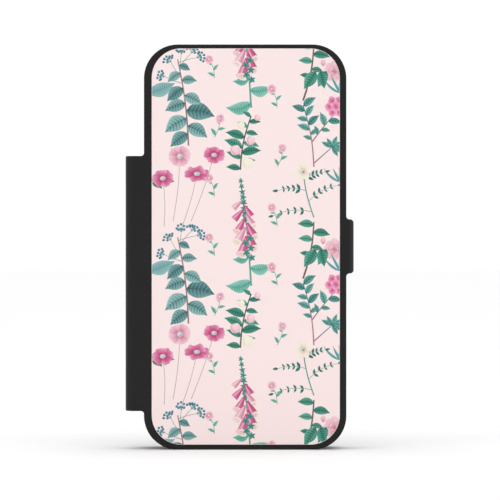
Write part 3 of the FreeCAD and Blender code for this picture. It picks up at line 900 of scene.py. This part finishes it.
def budded_branch(d, foot, height, lean):
    path = stem_path(foot, height, lean, bend=-0.9)
    d.stroke(path, 0.6, 0.45, TWIG, DEEP[0])
    foliage(d, path, DEEP, 11, 8, ratio=0.44, spread=78, first=0.02, last=0.98, peak=0.4, veins=6)
    for k in range(5):
        p, heading = along(path, 0.08 + 0.22 * k)
        side = -1 if k % 2 else 1
        d.bud(*polar(p, heading + side * 1.2, 2.6), 2.2 - 0.25 * k, PETAL if k % 3 else CREAM, side * 0.3)


def cosmos_group(d, foot, height, lean, heads=4):
    """Open flowers on long thin stems that fan out from almost parallel feet."""
    for k in range(heads):
        share = k / max(heads - 1, 1) - 0.5
        tall = height * (1.0 if k % 2 else 0.72) * d.vary(1.0, 0.08)
        path = stem_path((foot[0] + 10 * share, foot[1] - 2 * (k % 2)), tall, lean + 9 * share, bend=0.5)
        d.stroke(path, 0.26, 0.2, REED)
        pal, squash = (BLUSH, 0.95) if k % 4 == 1 else (HOT, 0.76 - 0.1 * (k % 3))
        d.daisy(*path[-1], d.vary(4.4, 0.08), pal, 8 + k % 2, squash, turn=0.3 * k, lean=0.25 * share)


def foxglove(d, foot, height, lean):
    path = stem_path(foot, height, lean, bend=0.5)
    d.stroke(path, 0.72, 0.38, MOSS, SAP)
    for k, side in enumerate((-1, 1, -1)):
        p, heading = along(path, 0.04 + 0.12 * k)
        sprout(d, p, heading + side * (1.45 + 0.2 * k), 11 - 2.5 * k, 0.5, MINT, veins=8, bow=side * 0.14)
    for k in range(8):
        p, _ = along(path, 0.97 - 0.05 * k)
        d.star(*p, 1.1 + 0.1 * k, TEAL, 5, 0.4 * k, 0.52)
    for k in range(9):
        p, _ = along(path, 0.80 - 0.04 * k)
        side = 1 if k % 2 else -1
        length = 4.2 + 0.36 * k
        angle = math.pi / 2 - side * d.vary(0.72 - 0.05 * k, 0.25)
        start = polar(p, angle, 0.8)
        lip = CREAM if k > 2 else None
        d.bell(start, polar(start, angle, length), 2.4 + 0.17 * k, HOT if k % 3 else BLUSH, lip)
    for k in range(5):
        p, _ = along(path, 0.44 - 0.045 * k)
        d.star(*polar(p, math.pi * (k % 2), 0.9), 1.5, TEAL, 5, 0.5 * k, 0.62)


def azalea_branch(d, foot, height, lean):
    path = stem_path(foot, height, lean, bend=0.9)
    fork, heading = along(path, 0.4)
    right = twig_path(fork, heading + 0.75, height * 0.62, curl=0.15)
    low, low_heading = along(path, 0.06)
    tuft = twig_path(low, low_heading + 0.9, height * 0.4)
    for twig in (path, right, tuft):
        d.stroke(twig, 0.52, 0.34, REDWOOD, SLATE[0])
    foliage(d, path, TEAL, 8, 5.6, spread=62, first=0.45, last=0.98, peak=0.9, veins=4)
    foliage(d, right, TEAL, 5, 5.2, spread=62, first=0.25, last=0.85, peak=0.7, veins=4)
    for k in range(7):
        sprout(d, tuft[-1], low_heading + 0.9 + (k - 3) * 0.62, 4.0, 0.4, TEAL, veins=3, tone=0.08)
    centre = polar(right[-1], low_heading, 2.2)
    for k in range(7):
        place = centre if k == 6 else polar(centre, math.tau * k / 6, 2.5)
        floret(d, place, 1.7, AZALEA)


def grass_tuft(d, foot, height, lean, blades=8):
    for k in range(blades):
        angle = math.radians(-150 + 150 * k / (blades - 1)) + lean
        d.blade(foot, polar(foot, angle, d.vary(height, 0.3)), 1.05, BLADE, bow=0.09 * (k % 3 - 1))


def edge_leaf(d, foot, height, lean):
    """One broad leaf that comes in from the sheet's left edge."""
    sprout(d, foot, -lean, height, 0.5, SLATE, veins=9, bow=0.05)


def edge_spray(d, foot, height, lean):
    spray(d, foot, -lean, height, LEAFLET, pairs=3, leaf=4.2, curl=0.2)


def small_flower(d, foot, height, lean):
    """A little flower on a short leafy stem, to fill the space between two columns."""
    path = stem_path(foot, height, lean, bend=0.6)
    d.stroke(path, 0.24, 0.16, MOSS)
    foliage(d, path, MINT, 3, 3.2, ratio=0.42, spread=55, first=0.1, last=0.7, peak=0.2, veins=0)
    floret(d, path[-1], 1.7, BLUSH, centre=(CREAM[0], CREAM[1], CREAM[2]))


# One repeat of the sheet. Plants stand in even columns, each with its height, and share out what is left.
COLUMNS = (
    ((berry_branch, 32), (cosmos_group, 26)),
    ((budded_branch, 20), (foxglove, 40)),
    ((rose_sprig, 17), (blossom_branch, 21), (azalea_branch, 23)),
)
LEFT_EDGE = ((edge_leaf, 11), (edge_spray, 6))
RIGHT_EDGE = ((grass_tuft, 10), (grass_tuft, 8))
FILLERS = 3                      # small flowers up each gap between columns, in one repeat
FILLER_HEIGHT = 7.0
LEAN = 4.0


def plant_repeat(d):
    for u, plants in ((-1.0, LEFT_EDGE), (PANEL_W, RIGHT_EDGE)):
        for k, (plant, height) in enumerate(plants):
            plant(d, (u, PERIOD * (k + 0.5) / len(plants)), height, 0.2)
    for gap_between in range(1, len(COLUMNS)):
        for k in range(FILLERS):
            foot = (PANEL_W * gap_between / len(COLUMNS), PERIOD * (k + 0.5 * gap_between) / FILLERS)
            small_flower(d, foot, FILLER_HEIGHT, LEAN / 2 if k % 2 else -LEAN / 2)
    for column, plants in enumerate(COLUMNS):
        centre = PANEL_W * (column + 0.5) / len(COLUMNS)
        gap = (PERIOD - sum(height for _, height in plants)) / len(plants)
        foot = PERIOD * column / len(COLUMNS)
        for k, (plant, height) in enumerate(plants):
            foot += height + gap
            lean = LEAN if (k + column) % 2 else -LEAN
            plant(d, (centre - lean / 2, foot), height, lean)


PRINT_INSET = 0.12               # how far the drawn face stops short of the sheet's edge
PRINT_R = 10.78
# How far out of the drawn face and how far behind it each ring of the sheet's rounded rim lies.
PRINT_RIM = ((0.06, 0.02), (PRINT_INSET, 0.09), (PRINT_INSET, PANEL_HI[1] - PANEL_LO[1]))
# Painted shade: the rim's rings darken towards this colour the deeper they reach into the recess.
RIM_PAINTED_SHADE = (0.6, 0.5, 0.5)


def draw_print():
    """All the shapes on the sheet. The first is the ground, and covers the whole face."""
    d = Drawing()
    ground = rounded_rect(PRINT_INSET, PANEL_W - PRINT_INSET, PRINT_INSET, PANEL_H - PRINT_INSET, PRINT_R, 18)
    d.poly(ground, GROUND)
    for repeat in (-1, 0, 1, 2):
        d.shift = PERIOD * repeat
        d.rng.seed(PRINT_SEED)
        plant_repeat(d)
    return d.shapes


def print_face(shapes):
    """The shapes cut into triangles, each with the colours of the topmost shape over it.
    Returns points on the front of the sheet, triangles, and a colour for each corner."""
    verts, outlines = [], []
    for pts, _ in shapes:
        outlines.append(list(range(len(verts), len(verts) + len(pts))))
        verts.extend(Vector(p) for p in pts)
    co, _, tris, _, _, owners = delaunay_2d_cdt(verts, [], outlines, 1, 1e-4, True)
    on_sheet = [(tri, max(owner)) for tri, owner in zip(tris, owners) if 0 in owner]
    used = sorted({i for tri, _ in on_sheet for i in tri})
    index = {v: k for k, v in enumerate(used)}
    points = [(PANEL_LO[0] + co[i][0], PANEL_LO[1], PANEL_HI[2] - co[i][1]) for i in used]
    polys = [tuple(index[i] for i in tri) for tri, _ in on_sheet]
    colours = [[shapes[top][1](co[i][0], co[i][1]) for i in tri] for tri, top in on_sheet]
    return points, polys, colours


def open_edges(polys):
    """The edges that only one triangle has, each in that triangle's direction."""
    edges = {}
    for t in polys:
        for a, b in ((t[0], t[1]), (t[1], t[2]), (t[2], t[0])):
            key = (min(a, b), max(a, b))
            edges[key] = None if key in edges else (a, b)
    return [e for e in edges.values() if e]


def close_print(points, polys, colours):
    """Add the rounded rim down into the recess and the plain back."""
    edge = open_edges(polys)
    cx, cz = (PANEL_LO[0] + PANEL_HI[0]) / 2, (PANEL_LO[2] + PANEL_HI[2]) / 2
    corner_r = PRINT_R + PRINT_INSET
    half_w, half_h = PANEL_W / 2 - corner_r, PANEL_H / 2 - corner_r
    rings = {}
    for a in {v for e in edge for v in e}:
        x, y, z = points[a]
        nx = x - cx - max(min(x - cx, half_w), -half_w)
        nz = z - cz - max(min(z - cz, half_h), -half_h)
        length = math.hypot(nx, nz) or 1.0
        rings[a] = [a]
        for out, back in PRINT_RIM:
            rings[a].append(len(points))
            points.append((x + nx / length * out, y + back, z + nz / length * out))
    for a, b in edge:
        for k in range(len(PRINT_RIM)):
            polys.append((rings[b][k], rings[a][k], rings[a][k + 1], rings[b][k + 1]))
            # Painted shade, a little deeper on each ring down into the recess.
            colours.append([mixc(GROUND, RIM_PAINTED_SHADE, 0.12 * k)] * 4)
    follow = dict(edge)
    back, at = [], edge[0][0]
    for _ in edge:
        back.append(rings[at][-1])
        at = follow[at]
    polys.append(tuple(back[::-1]))
    colours.append([GROUND] * len(back))


def build_print():
    points, polys, colours = print_face(draw_print())
    close_print(points, polys, colours)
    mesh = bpy.data.meshes.new("printed_front")
    mesh.from_pydata([tuple(c * MM for c in p) for p in points], [], polys)
    layer = mesh.color_attributes.new("print", "FLOAT_COLOR", "CORNER")
    for k, colour in enumerate(c for face in colours for c in face):
        layer.data[k].color = (*colour, 1.0)
    mesh.materials.append(MAT["print"])
    obj = bpy.data.objects.new("printed_front", mesh)
    bpy.context.scene.collection.objects.link(obj)
    return obj


printed = build_print()
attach(printed, "front_leaf")
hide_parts("printed_panel")


# ---------------------------------------------------------------- the leaves' leather
JOIN_X = LEAF_X0 - 1.9               # where a leaf's skin meets the spine's bending strip
FILLET = 1.1                         # where the spine meets a leaf's edge
ROOT_FILLET = 1.15                   # where the strap leaves the front leaf's edge
ROOT_LEAD = 0.05
STRAP_JOIN = LEAF_X1 + ROOT_FILLET   # where the leaf's skin meets the strap's bending strip
LEAF_EDGE_R = 0.42                   # rounding of a leaf's outer edge
STRIP_EDGE_R = 0.36                  # rounding of the spine's and the strap's edges
THIN_EDGE_R = 0.2                    # rounding of a lining's edges
PANEL_GAP = 0.1                      # between the printed sheet and its recess
PANEL_HOLE_R = 11.0
# Rings of a rounded edge: how far in or out of the outline, and how far behind the face.
RECESS_EDGE = ((0.16 + FLAT_RING, 0.0), (0.16, 0.0), (0.05, 0.05), (0.0, 0.16), (0.0, 0.28))
WINDOW_EDGE = ((0.25 + FLAT_RING, 0.0), (0.25, 0.0), (0.12, 0.04), (0.04, 0.12), (0.0, 0.25), (0.0, 0.6),
               (0.0, SKIN))
TURNED_EDGE = ((0.0, 0.36), (0.03, 0.22), (0.11, 0.10), (0.24, 0.02), (0.4, 0.0), (0.4 + FLAT_RING, 0.0))
LINING_EDGE = ((0.0, 0.2), (0.06, 0.07), (0.2, 0.0), (0.2 + FLAT_RING, 0.0))

WINDOW_W, WINDOW_H, WINDOW_R = 31.0, 33.0, 7.5
WINDOW_X = (LEAF_X0 + LEAF_X1) / 2 + 18.5
WINDOW_Z = 130.1
COLLAR = 1.2                         # the tray's raised edge round the camera window
COLLAR_GAP = 0.1
TURN_BACK = 0.8                      # depth of the back leaf's turned edge
INNER_BACK = BACK - SKIN - TURN_BACK


def place(obj, slot_name, body=None, nodes=()):
    """Attach the piece to its body, where one is given, and hide the nodes it replaces. slot_name is not
    used.
    """
    if body:
        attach(obj, body)
    if nodes:
        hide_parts(*nodes)


def upright(x, z0, z1, steps):
    return [(x, z0 + (z1 - z0) * k / steps) for k in range(steps + 1)]


def leaf_outline(with_strap):
    """The leaf with the spine's return on its left and, on the front, the strap's root on its right."""
    x0, x1, z0, z1, r = LEAF_X0, LEAF_X1, LEAF_Z0, LEAF_Z1, LEAF_R
    pts = arc(x1 - r, z0 + r, r, -90, 0)
    if with_strap:
        pts.append((x1, STRAP_Z0 - ROOT_FILLET - ROOT_LEAD))
        # The fillet's last point is left out, because the strap's own first point follows it.
        pts += arc(STRAP_JOIN, STRAP_Z0 - ROOT_FILLET, ROOT_FILLET, 180, 92, 6)[:-1]
        pts += upright(STRAP_JOIN, STRAP_Z0, STRAP_Z1, 12)
        pts += arc(STRAP_JOIN, STRAP_Z1 + ROOT_FILLET, ROOT_FILLET, 268, 180, 6)
        pts.append((x1, STRAP_Z1 + ROOT_FILLET + ROOT_LEAD))
    pts += arc(x1 - r, z1 - r, r, 0, 90)
    pts += arc(x0 + r, z1 - r, r, 90, 180)
    pts += arc(x0 - FILLET, SPINE_HI[2] + FILLET, FILLET, 0, -88, 6)
    pts += upright(JOIN_X, SPINE_HI[2], SPINE_LO[2], 24)
    pts += arc(x0 - FILLET, SPINE_LO[2] - FILLET, FILLET, 88, 0, 6)
    pts += arc(x0 + r, z0 + r, r, 180, 270)
    return pts


def leaf_rect(inset):
    """A leaf's plain outline, drawn in all round by this much."""
    return rounded_rect(LEAF_X0 + inset, LEAF_X1 - inset, LEAF_Z0 + inset, LEAF_Z1 - inset, LEAF_R - inset,
                        20)


def behind(profile, face, s):
    return [(inset, face + s * depth) for inset, depth in profile]


def short_of(profile, y0, y1):
    """Rings from y0 to a rounded edge at y1."""
    s = 1 if y1 > y0 else -1
    return [(0.0, y0)] + [(inset, y1 - s * depth) for inset, depth in profile]


def turned_edge(name, y0, y1, body):
    """The skin turned over the board's edge, which shows from the side."""
    wall = [(0.0, y0 + (y1 - y0) * k / 5) for k in range(6)]
    obj = plate(name, leaf_rect(0.0), short_of(TURNED_EDGE, y0, y1), MAT["skin"], leaf_rect(RIM), wall)
    place(obj, "skin_leather", body)


panel_hole = rounded_rect(PANEL_LO[0] - PANEL_GAP, PANEL_HI[0] + PANEL_GAP, PANEL_LO[2] - PANEL_GAP,
                          PANEL_HI[2] + PANEL_GAP, PANEL_HOLE_R, 18)
# One skin: the border, the spine's return and the strap's root are a single sheet with soft edges.
front_cover = plate("front_cover_leather", leaf_outline(True), arc_rings(LEAF_EDGE_R, FRONT, FRONT + SKIN),
                    MAT["skin"], panel_hole, behind(RECESS_EDGE, FRONT, 1), fixed_x=(JOIN_X, STRAP_JOIN),
                    blind=True)
place(front_cover, "skin_leather", "front_leaf", ["front_skin"])
turned_edge("front_turned_edge", FRONT + SKIN, LEAF_BACK, "front_leaf")

window_w, window_h = WINDOW_W / 2 + COLLAR + COLLAR_GAP, WINDOW_H / 2 + COLLAR + COLLAR_GAP
window = rounded_rect(WINDOW_X - window_w, WINDOW_X + window_w, WINDOW_Z - window_h, WINDOW_Z + window_h,
                      WINDOW_R + COLLAR + COLLAR_GAP, 12)
back_cover = plate("back_cover_leather", leaf_outline(False), arc_rings(LEAF_EDGE_R, BACK, BACK - SKIN),
                   MAT["skin"], window, behind(WINDOW_EDGE, BACK, -1), fixed_x=(JOIN_X,))
place(back_cover, "skin_leather", "back_leaf", ["back_skin"])
turned_edge("back_turned_edge", BACK - SKIN, INNER_BACK, "back_leaf")

# ---------------------------------------------------------------- the spine: bends between the leaves
SPINE_BEND = 3.3                     # half of the width that bends at each of the spine's folds
SPINE_LINING_TRIM = 0.25             # how far the spine's lining stops short of its skin's ends


def bend(obj, first, second, corner_x, corner_y, across, reach):
    """Bake the piece's place into its mesh; it is not blended from one body to the next. first, second,
    corner_x, corner_y, across and reach are not used.
    """
    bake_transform(obj)


def fold_inset(r):
    """How far inside a rounded corner's outer faces its middle lies."""
    return r * (1 - math.cos(math.radians(45)))


def spine_half(name, back, depth, thick, material, join, trim=0.0):
    """Half of the spine, from a leaf round its bend to the spine's middle, at this depth under the skin."""
    face = BACK if back else FRONT
    s = -1 if back else 1
    centre_x = SPINE_X + SPINE_R
    pts = line((join, face + s * depth), (centre_x, face + s * depth), 4)
    pts += [(x, face + s * (SPINE_R + y)) for x, y in arc(centre_x, 0, SPINE_R - depth, 270, 180, 12)]
    end = (SPINE_X + depth, (FRONT + BACK) / 2)
    pts += line(pts[-1], end, 6)[1:] + [end]
    obj = strip(name, pts, SPINE_LO[2] + trim, SPINE_HI[2] - trim, thick, STRIP_EDGE_R, material, side=-s)
    fold = fold_inset(SPINE_R)
    bodies = ("back_leaf", "spine") if back else ("spine", "front_leaf")
    across = (-1, -1) if back else (1, -1)
    bend(obj, *bodies, SPINE_X + fold, face + s * fold, across, SPINE_BEND)
    return obj


for layer, depth, thick, key, slot_name, join, trim, node in (
        ("leather", 0.0, SKIN, "skin", "skin_leather", JOIN_X, 0.0, "spine_skin"),
        ("lining", SKIN, LINING, "suede", "lining_suede", LEAF_X0 - 0.45, SPINE_LINING_TRIM, "spine_lining")):
    for end, back in (("front", False), ("back", True)):
        half = spine_half("spine_%s_%s" % (layer, end), back, depth, thick, MAT[key], join, trim)
        place(half, slot_name, nodes=[] if back else [node])

# ---------------------------------------------------------------- linings of the leaves
LINING_INSET = 1.0                   # how far a leaf's lining stops short of the leaf's edge
STEP_START, STEP_RUN = 1.4, 2.3      # where the lining starts to step over the board's edge, and how far


def lining_sheet(name, y0, y1, body, node, hole=None):
    s = 1 if y1 > y0 else -1
    wall = [(0.0, y0), (0.0, y1 - s * 0.2), (0.0, y1 - s * 0.1), (0.0, y1)] if hole else None
    obj = plate(name, leaf_rect(LINING_INSET), short_of(LINING_EDGE, y0, y1), MAT["suede"], hole, wall)
    place(obj, "lining_suede", body, [node])


def smooth_step(t):
    return t * t * (3 - 2 * t)


def lining_step(name, face, sheet_y, s, body):
    """The lining where it steps over the board's edge, from the leaf's sheet down to the spine's lining."""
    drop = face + s * SKIN - sheet_y
    shares = [k / 12 for k in range(13)]
    pts = [(LEAF_X0 + STEP_START - STEP_RUN * t, sheet_y + drop * smooth_step(t)) for t in shares]
    z0, z1 = SPINE_LO[2] + SPINE_LINING_TRIM, SPINE_HI[2] - SPINE_LINING_TRIM
    obj = strip(name, pts, z0, z1, LINING, THIN_EDGE_R, MAT["suede"], side=-s)
    place(obj, "lining_suede", body)


lining_sheet("front_lining_sheet", LEAF_BACK, LEAF_BACK + LINING, "front_leaf", "front_lining")
lining_sheet("back_lining_sheet", INNER_BACK, INNER_BACK - LINING, "back_leaf", "back_lining", window)
lining_step("front_lining_step", FRONT, LEAF_BACK, 1, "front_leaf")
lining_step("back_lining_step", BACK, INNER_BACK, -1, "back_leaf")

# ---------------------------------------------------------------- card pockets
BACKING_R, POCKET_R = 8.8, 2.2
BACKING_SEAM = 1.3                   # the seam's distance from the backing's edge
BACKING_SEAM_END = 10.0              # and from its corners, which it leaves free
POCKET_SEAM = 1.2
POCKET_SEAM_TOP, POCKET_SEAM_END = 1.3, 2.0
STITCH_PITCH, STITCH_LENGTH, THREAD_R = 2.6, 1.7, 0.13
STITCH_SLANT = 0.12                  # how far each end of a stitch leans out of line
STITCH_RISE = 0.11                   # how far its middle stands above its ends
STITCH_SINK = 0.08                   # and how far its ends lie in the surface


def pocket(name, node, r=POCKET_R):
    """A card pocket's sheet with rounded edges. Returns the corners of the node it stands for."""
    lo, hi = node_box(node)
    outline = rounded_rect(lo[0], hi[0], lo[2], hi[2], r, 8)
    obj = plate(name, outline, arc_rings(0.15, hi[1], lo[1], 0.1, 4), MAT["pocket"])
    place(obj, "pocket_leather", "front_leaf", [node])
    return lo, hi


def stitches(name, y, runs):
    """Thread lying in short slanted stitches along straight runs."""
    verts, faces = [], []
    rows, sides = 6, 6
    for (x0, z0), (x1, z1) in runs:
        total = math.hypot(x1 - x0, z1 - z0)
        dx, dz = (x1 - x0) / total, (z1 - z0) / total
        count = int(total / STITCH_PITCH)
        for k in range(count):
            centre = (k + 0.5) * total / count
            start = len(verts)
            for i in range(rows + 1):
                t = -1 + 2 * i / rows
                w = THREAD_R * math.sqrt(max(1 - t ** 4, 0.02))
                ahead, aside = centre + t * STITCH_LENGTH / 2, t * STITCH_SLANT
                px, pz = x0 + dx * ahead - dz * aside, z0 + dz * ahead + dx * aside
                py = y + STITCH_RISE * (1 - t * t) - STITCH_SINK
                for j in range(sides):
                    a = 2 * math.pi * j / sides
                    verts.append((px - dz * w * math.cos(a), py + w * math.sin(a), pz + dx * w * math.cos(a)))
            for i in range(rows):
                for j in range(sides):
                    a = start + i * sides + j
                    b = start + i * sides + (j + 1) % sides
                    faces.append((a, b, b + sides, a + sides))
            faces.append(tuple(start + j for j in range(sides)))
            faces.append(tuple(start + rows * sides + j for j in range(sides)))
    place(make_mesh(name, verts, faces, MAT["thread"], 60), "seam_fabric", "front_leaf")


def seam(lo, hi, side, foot, top, bottom_in=None):
    """Up the left side, down the right one, and along the bottom where the bottom's ends are given."""
    left, right = lo[0] + side, hi[0] - side
    runs = [((left, foot), (left, top)), ((right, top), (right, foot))]
    if bottom_in:
        runs.append(((lo[0] + bottom_in, lo[2] + side), (hi[0] - bottom_in, lo[2] + side)))
    return runs


lo, hi = pocket("card_backing_sheet", "card_backing", BACKING_R)
stitches("backing_stitching", hi[1],
         seam(lo, hi, BACKING_SEAM, lo[2] + BACKING_SEAM_END, hi[2] - BACKING_SEAM_END, BACKING_SEAM_END))
for label in ("upper", "middle", "lower"):
    lo, hi = pocket("pocket_sheet_" + label, "card_pocket_" + label)
    bottom_in = POCKET_SEAM_END if label == "lower" else None
    stitches("pocket_stitching_" + label, hi[1],
             seam(lo, hi, POCKET_SEAM, lo[2] + POCKET_SEAM_END, hi[2] - POCKET_SEAM_TOP, bottom_in))

# ---------------------------------------------------------------- the strap
TIP_IN = TIP_LO[0]
STRAP_CORNER = 1.1               # how far each edge of the strap draws in where it turns over the side
STRAP_LINING_TRIM = 0.3          # how far the strap's lining stops short of its edges
ROOT_BEND, TIP_BEND = 2.0, 2.6   # half of the width that bends at the strap's first and second fold
TIP_EXTRA = 1.0                  # how much thicker the tip is, where it holds the magnets
SINK_RUN = 2.2                   # the length over which its lining steps down by that
TIP_ROUND_SHARE = 0.96           # how much of its full height the tip's rounding takes


def turn_trim(x):
    """How far the strap's edges have drawn in at x on its outer face: a rounded corner from the front."""
    over = max(0.0, x - (STRAP_X - STRAP_CORNER))
    return STRAP_CORNER - math.sqrt(max(STRAP_CORNER ** 2 - over ** 2, 0.0))


def strap_band(name, path, trims, thick, edge_r, material):
    """A band along the strap, trimmed at both edges by its own amount at each point of the path."""
    return strip(name, path, STRAP_Z0, STRAP_Z1, thick, edge_r, material,
                 end_shape=lambda share: trims[round(share * (len(trims) - 1))])


# Each layer of the strap: its depth under the outer face, its material and its slot.
# The outer layer takes the leather with the painted reflection.
STRAP_OUTER = (0.0, MAT["strap"], "strap_leather")
STRAP_INNER = (SKIN, MAT["strap_lining"], "strap_lining")


def strap_root(name, layer, thick, join, trim, node):
    """From the front leaf round the first fold to the middle of the side."""
    depth, material, slot_name = layer
    r = STRAP_R - depth
    centre_x, centre_y = STRAP_X - STRAP_R, FRONT + STRAP_R
    first = (join, centre_y - math.sqrt(max(r * r - (join - centre_x) ** 2, 0)))
    pts = [first] + [p for p in arc(centre_x, centre_y, r, 270, 360, 12) if p[0] > join + 0.05]
    middle = (STRAP_X - depth, (FRONT + STRAP_END) / 2)
    pts += line(pts[-1], middle, 6)[1:] + [middle]
    obj = strap_band(name, pts, [trim + turn_trim(x + depth) for x, _ in pts], thick, STRIP_EDGE_R, material)
    fold = fold_inset(STRAP_R)
    bend(obj, "front_leaf", "strap_side", STRAP_X - fold, FRONT + fold, (1, 1), ROOT_BEND)
    place(obj, slot_name, nodes=[node])


def strap_tip(name, layer, thick, edge_r, trim, node, end_x, rounding, arc_steps, flat_steps, sink=0.0):
    """From the middle of the side round the second fold to the rounded tip."""
    depth, material, slot_name = layer
    centre_x, centre_y = STRAP_X - STRAP_R, STRAP_END - STRAP_R
    pts = line((STRAP_X - depth, (FRONT + STRAP_END) / 2), (STRAP_X - depth, centre_y), 6)
    pts += arc(centre_x, centre_y, STRAP_R - depth, 0, 90, arc_steps)
    for k in range(1, flat_steps + 1):
        x = centre_x + (end_x - centre_x) * k / flat_steps
        sunk = sink * smooth_step(min(max((centre_x - x) / SINK_RUN, 0), 1))
        pts.append((x, STRAP_END - depth - sunk))
    trims = []
    for x, _ in pts:
        near = min(max(0.0, (end_x + rounding - x) / rounding), 1.0)
        trims.append(trim + rounding * (1 - math.sqrt(max(1 - near ** 2, 0))) * TIP_ROUND_SHARE)
    obj = strap_band(name, pts, trims, thick, edge_r, material)
    fold = fold_inset(STRAP_R)
    bend(obj, "strap_side", "strap_tip", STRAP_X - fold, STRAP_END - fold, (-1, 1), TIP_BEND)
    place(obj, slot_name, nodes=[node])


def tip_thickness(share):
    """The skin's thickness along the tip piece: more where the magnets are."""
    return SKIN + TIP_EXTRA * min(max(share - 0.52, 0.0) / 0.06, 1.0) ** 2


strap_root("strap_leather_side", STRAP_OUTER, SKIN, STRAP_JOIN, 0.0, "strap_side_skin")
strap_tip("strap_leather_tip", STRAP_OUTER, tip_thickness, STRIP_EDGE_R, STRAP_CORNER, "strap_tip_skin",
          TIP_IN, 5.0, 12, 26)
strap_root("strap_lining_side", STRAP_INNER, LINING, LEAF_X1 + 0.2, STRAP_LINING_TRIM, "strap_side_lining")
strap_tip("strap_lining_tip", STRAP_INNER, LINING, THIN_EDGE_R, STRAP_CORNER + STRAP_LINING_TRIM,
          "strap_tip_lining", TIP_IN + 0.35, 4.7, 10, 30, sink=TIP_EXTRA)

# ---------------------------------------------------------------- floor, light and camera
FLOOR_REACH = 9.0                # m


def stage_floor():
    """A wide pale paper floor."""
    half = FLOOR_REACH / MM
    n = Nodes("studio_paper", Specular_IOR_Level=0.1, Roughness=0.9)
    fibre = n.noise(n.coords(), 60, 4)
    n.out(Base_Color=n.ramp(fibre, [(0.3, grey(0.90)), (0.7, grey(0.92))]))
    corners = [(-half, -half, 0), (half, -half, 0), (half, half, 0), (-half, half, 0)]
    make_mesh("studio_floor", corners, [(0, 1, 2, 3)], n.mat)


SKY_LEVEL, SKY_OVERHEAD = 1.04, 0.36   # brightness level with the object and high overhead
SKY_FADE = (0.12, 0.55)          # the heights between which one passes into the other


def studio_sky():
    """Soft white surroundings, brightest level with the object and dimmer overhead."""
    world = bpy.data.worlds.new("studio")
    bpy.context.scene.world = world
    world.use_nodes = True
    tree = world.node_tree
    coords = tree.nodes.new("ShaderNodeTexCoord")
    split = tree.nodes.new("ShaderNodeSeparateXYZ")
    fade = tree.nodes.new("ShaderNodeMapRange")
    fade.interpolation_type = "SMOOTHSTEP"
    fade.inputs["From Min"].default_value, fade.inputs["From Max"].default_value = SKY_FADE
    fade.inputs["To Min"].default_value = SKY_LEVEL
    fade.inputs["To Max"].default_value = SKY_OVERHEAD
    back = tree.nodes["Background"]
    back.inputs["Color"].default_value = (1, 1, 1, 1)
    tree.links.new(coords.outputs["Generated"], split.inputs["Vector"])
    tree.links.new(split.outputs["Z"], fade.inputs["Value"])
    tree.links.new(fade.outputs["Result"], back.inputs["Strength"])


AREA_SIZE = 0.9                  # m
AIM_HEIGHT = 0.08
SUN_STRENGTH, SUN_SOFTNESS = 2.05, 70


def area_light(name, place, power):
    """A soft square light aimed at the object."""
    data = bpy.data.lights.new(name, "AREA")
    data.energy = power
    data.size = AREA_SIZE
    obj = bpy.data.objects.new(name, data)
    obj.location = place
    obj.rotation_mode = "QUATERNION"
    obj.rotation_quaternion = (Vector((0, 0, AIM_HEIGHT)) - Vector(place)).to_track_quat("-Z", "Y")
    bpy.context.scene.collection.objects.link(obj)


def overhead_light():
    data = bpy.data.lights.new("sky_light", "SUN")
    data.energy = SUN_STRENGTH
    data.angle = math.radians(SUN_SOFTNESS)
    bpy.context.scene.collection.objects.link(bpy.data.objects.new("sky_light", data))


stage_floor()
studio_sky()
area_light("key", (-1.25, -0.85, 1.1), 2.3)
area_light("fill", (1.3, -0.85, 0.6), 1.6)
overhead_light()

COVER_MID = ((LEAF_X0 + LEAF_X1) / 2, (LEAF_Z0 + LEAF_Z1) / 2)
CAMERA_AWAY = 1000.0
VIEW_WIDTH = 185.4             # how much the view spans at the cover's face
AIM_RIGHT, AIM_DOWN = 1.8, 1.1  # the cover sits a little left of and above the middle
cam_data = bpy.data.cameras.new("camera")
cam_data.sensor_width = 36
cam_data.lens = cam_data.sensor_width * CAMERA_AWAY / VIEW_WIDTH
cam = bpy.data.objects.new("camera", cam_data)
cam.location = ((COVER_MID[0] + AIM_RIGHT) * MM, (FRONT - CAMERA_AWAY) * MM, (COVER_MID[1] - AIM_DOWN) * MM)
cam.rotation_mode = "QUATERNION"
cam.rotation_quaternion = Vector((0, 1, 0)).to_track_quat("-Z", "Z")
bpy.context.scene.collection.objects.link(cam)
bpy.context.scene.camera = cam
bpy.context.scene.view_settings.view_transform = "Standard"
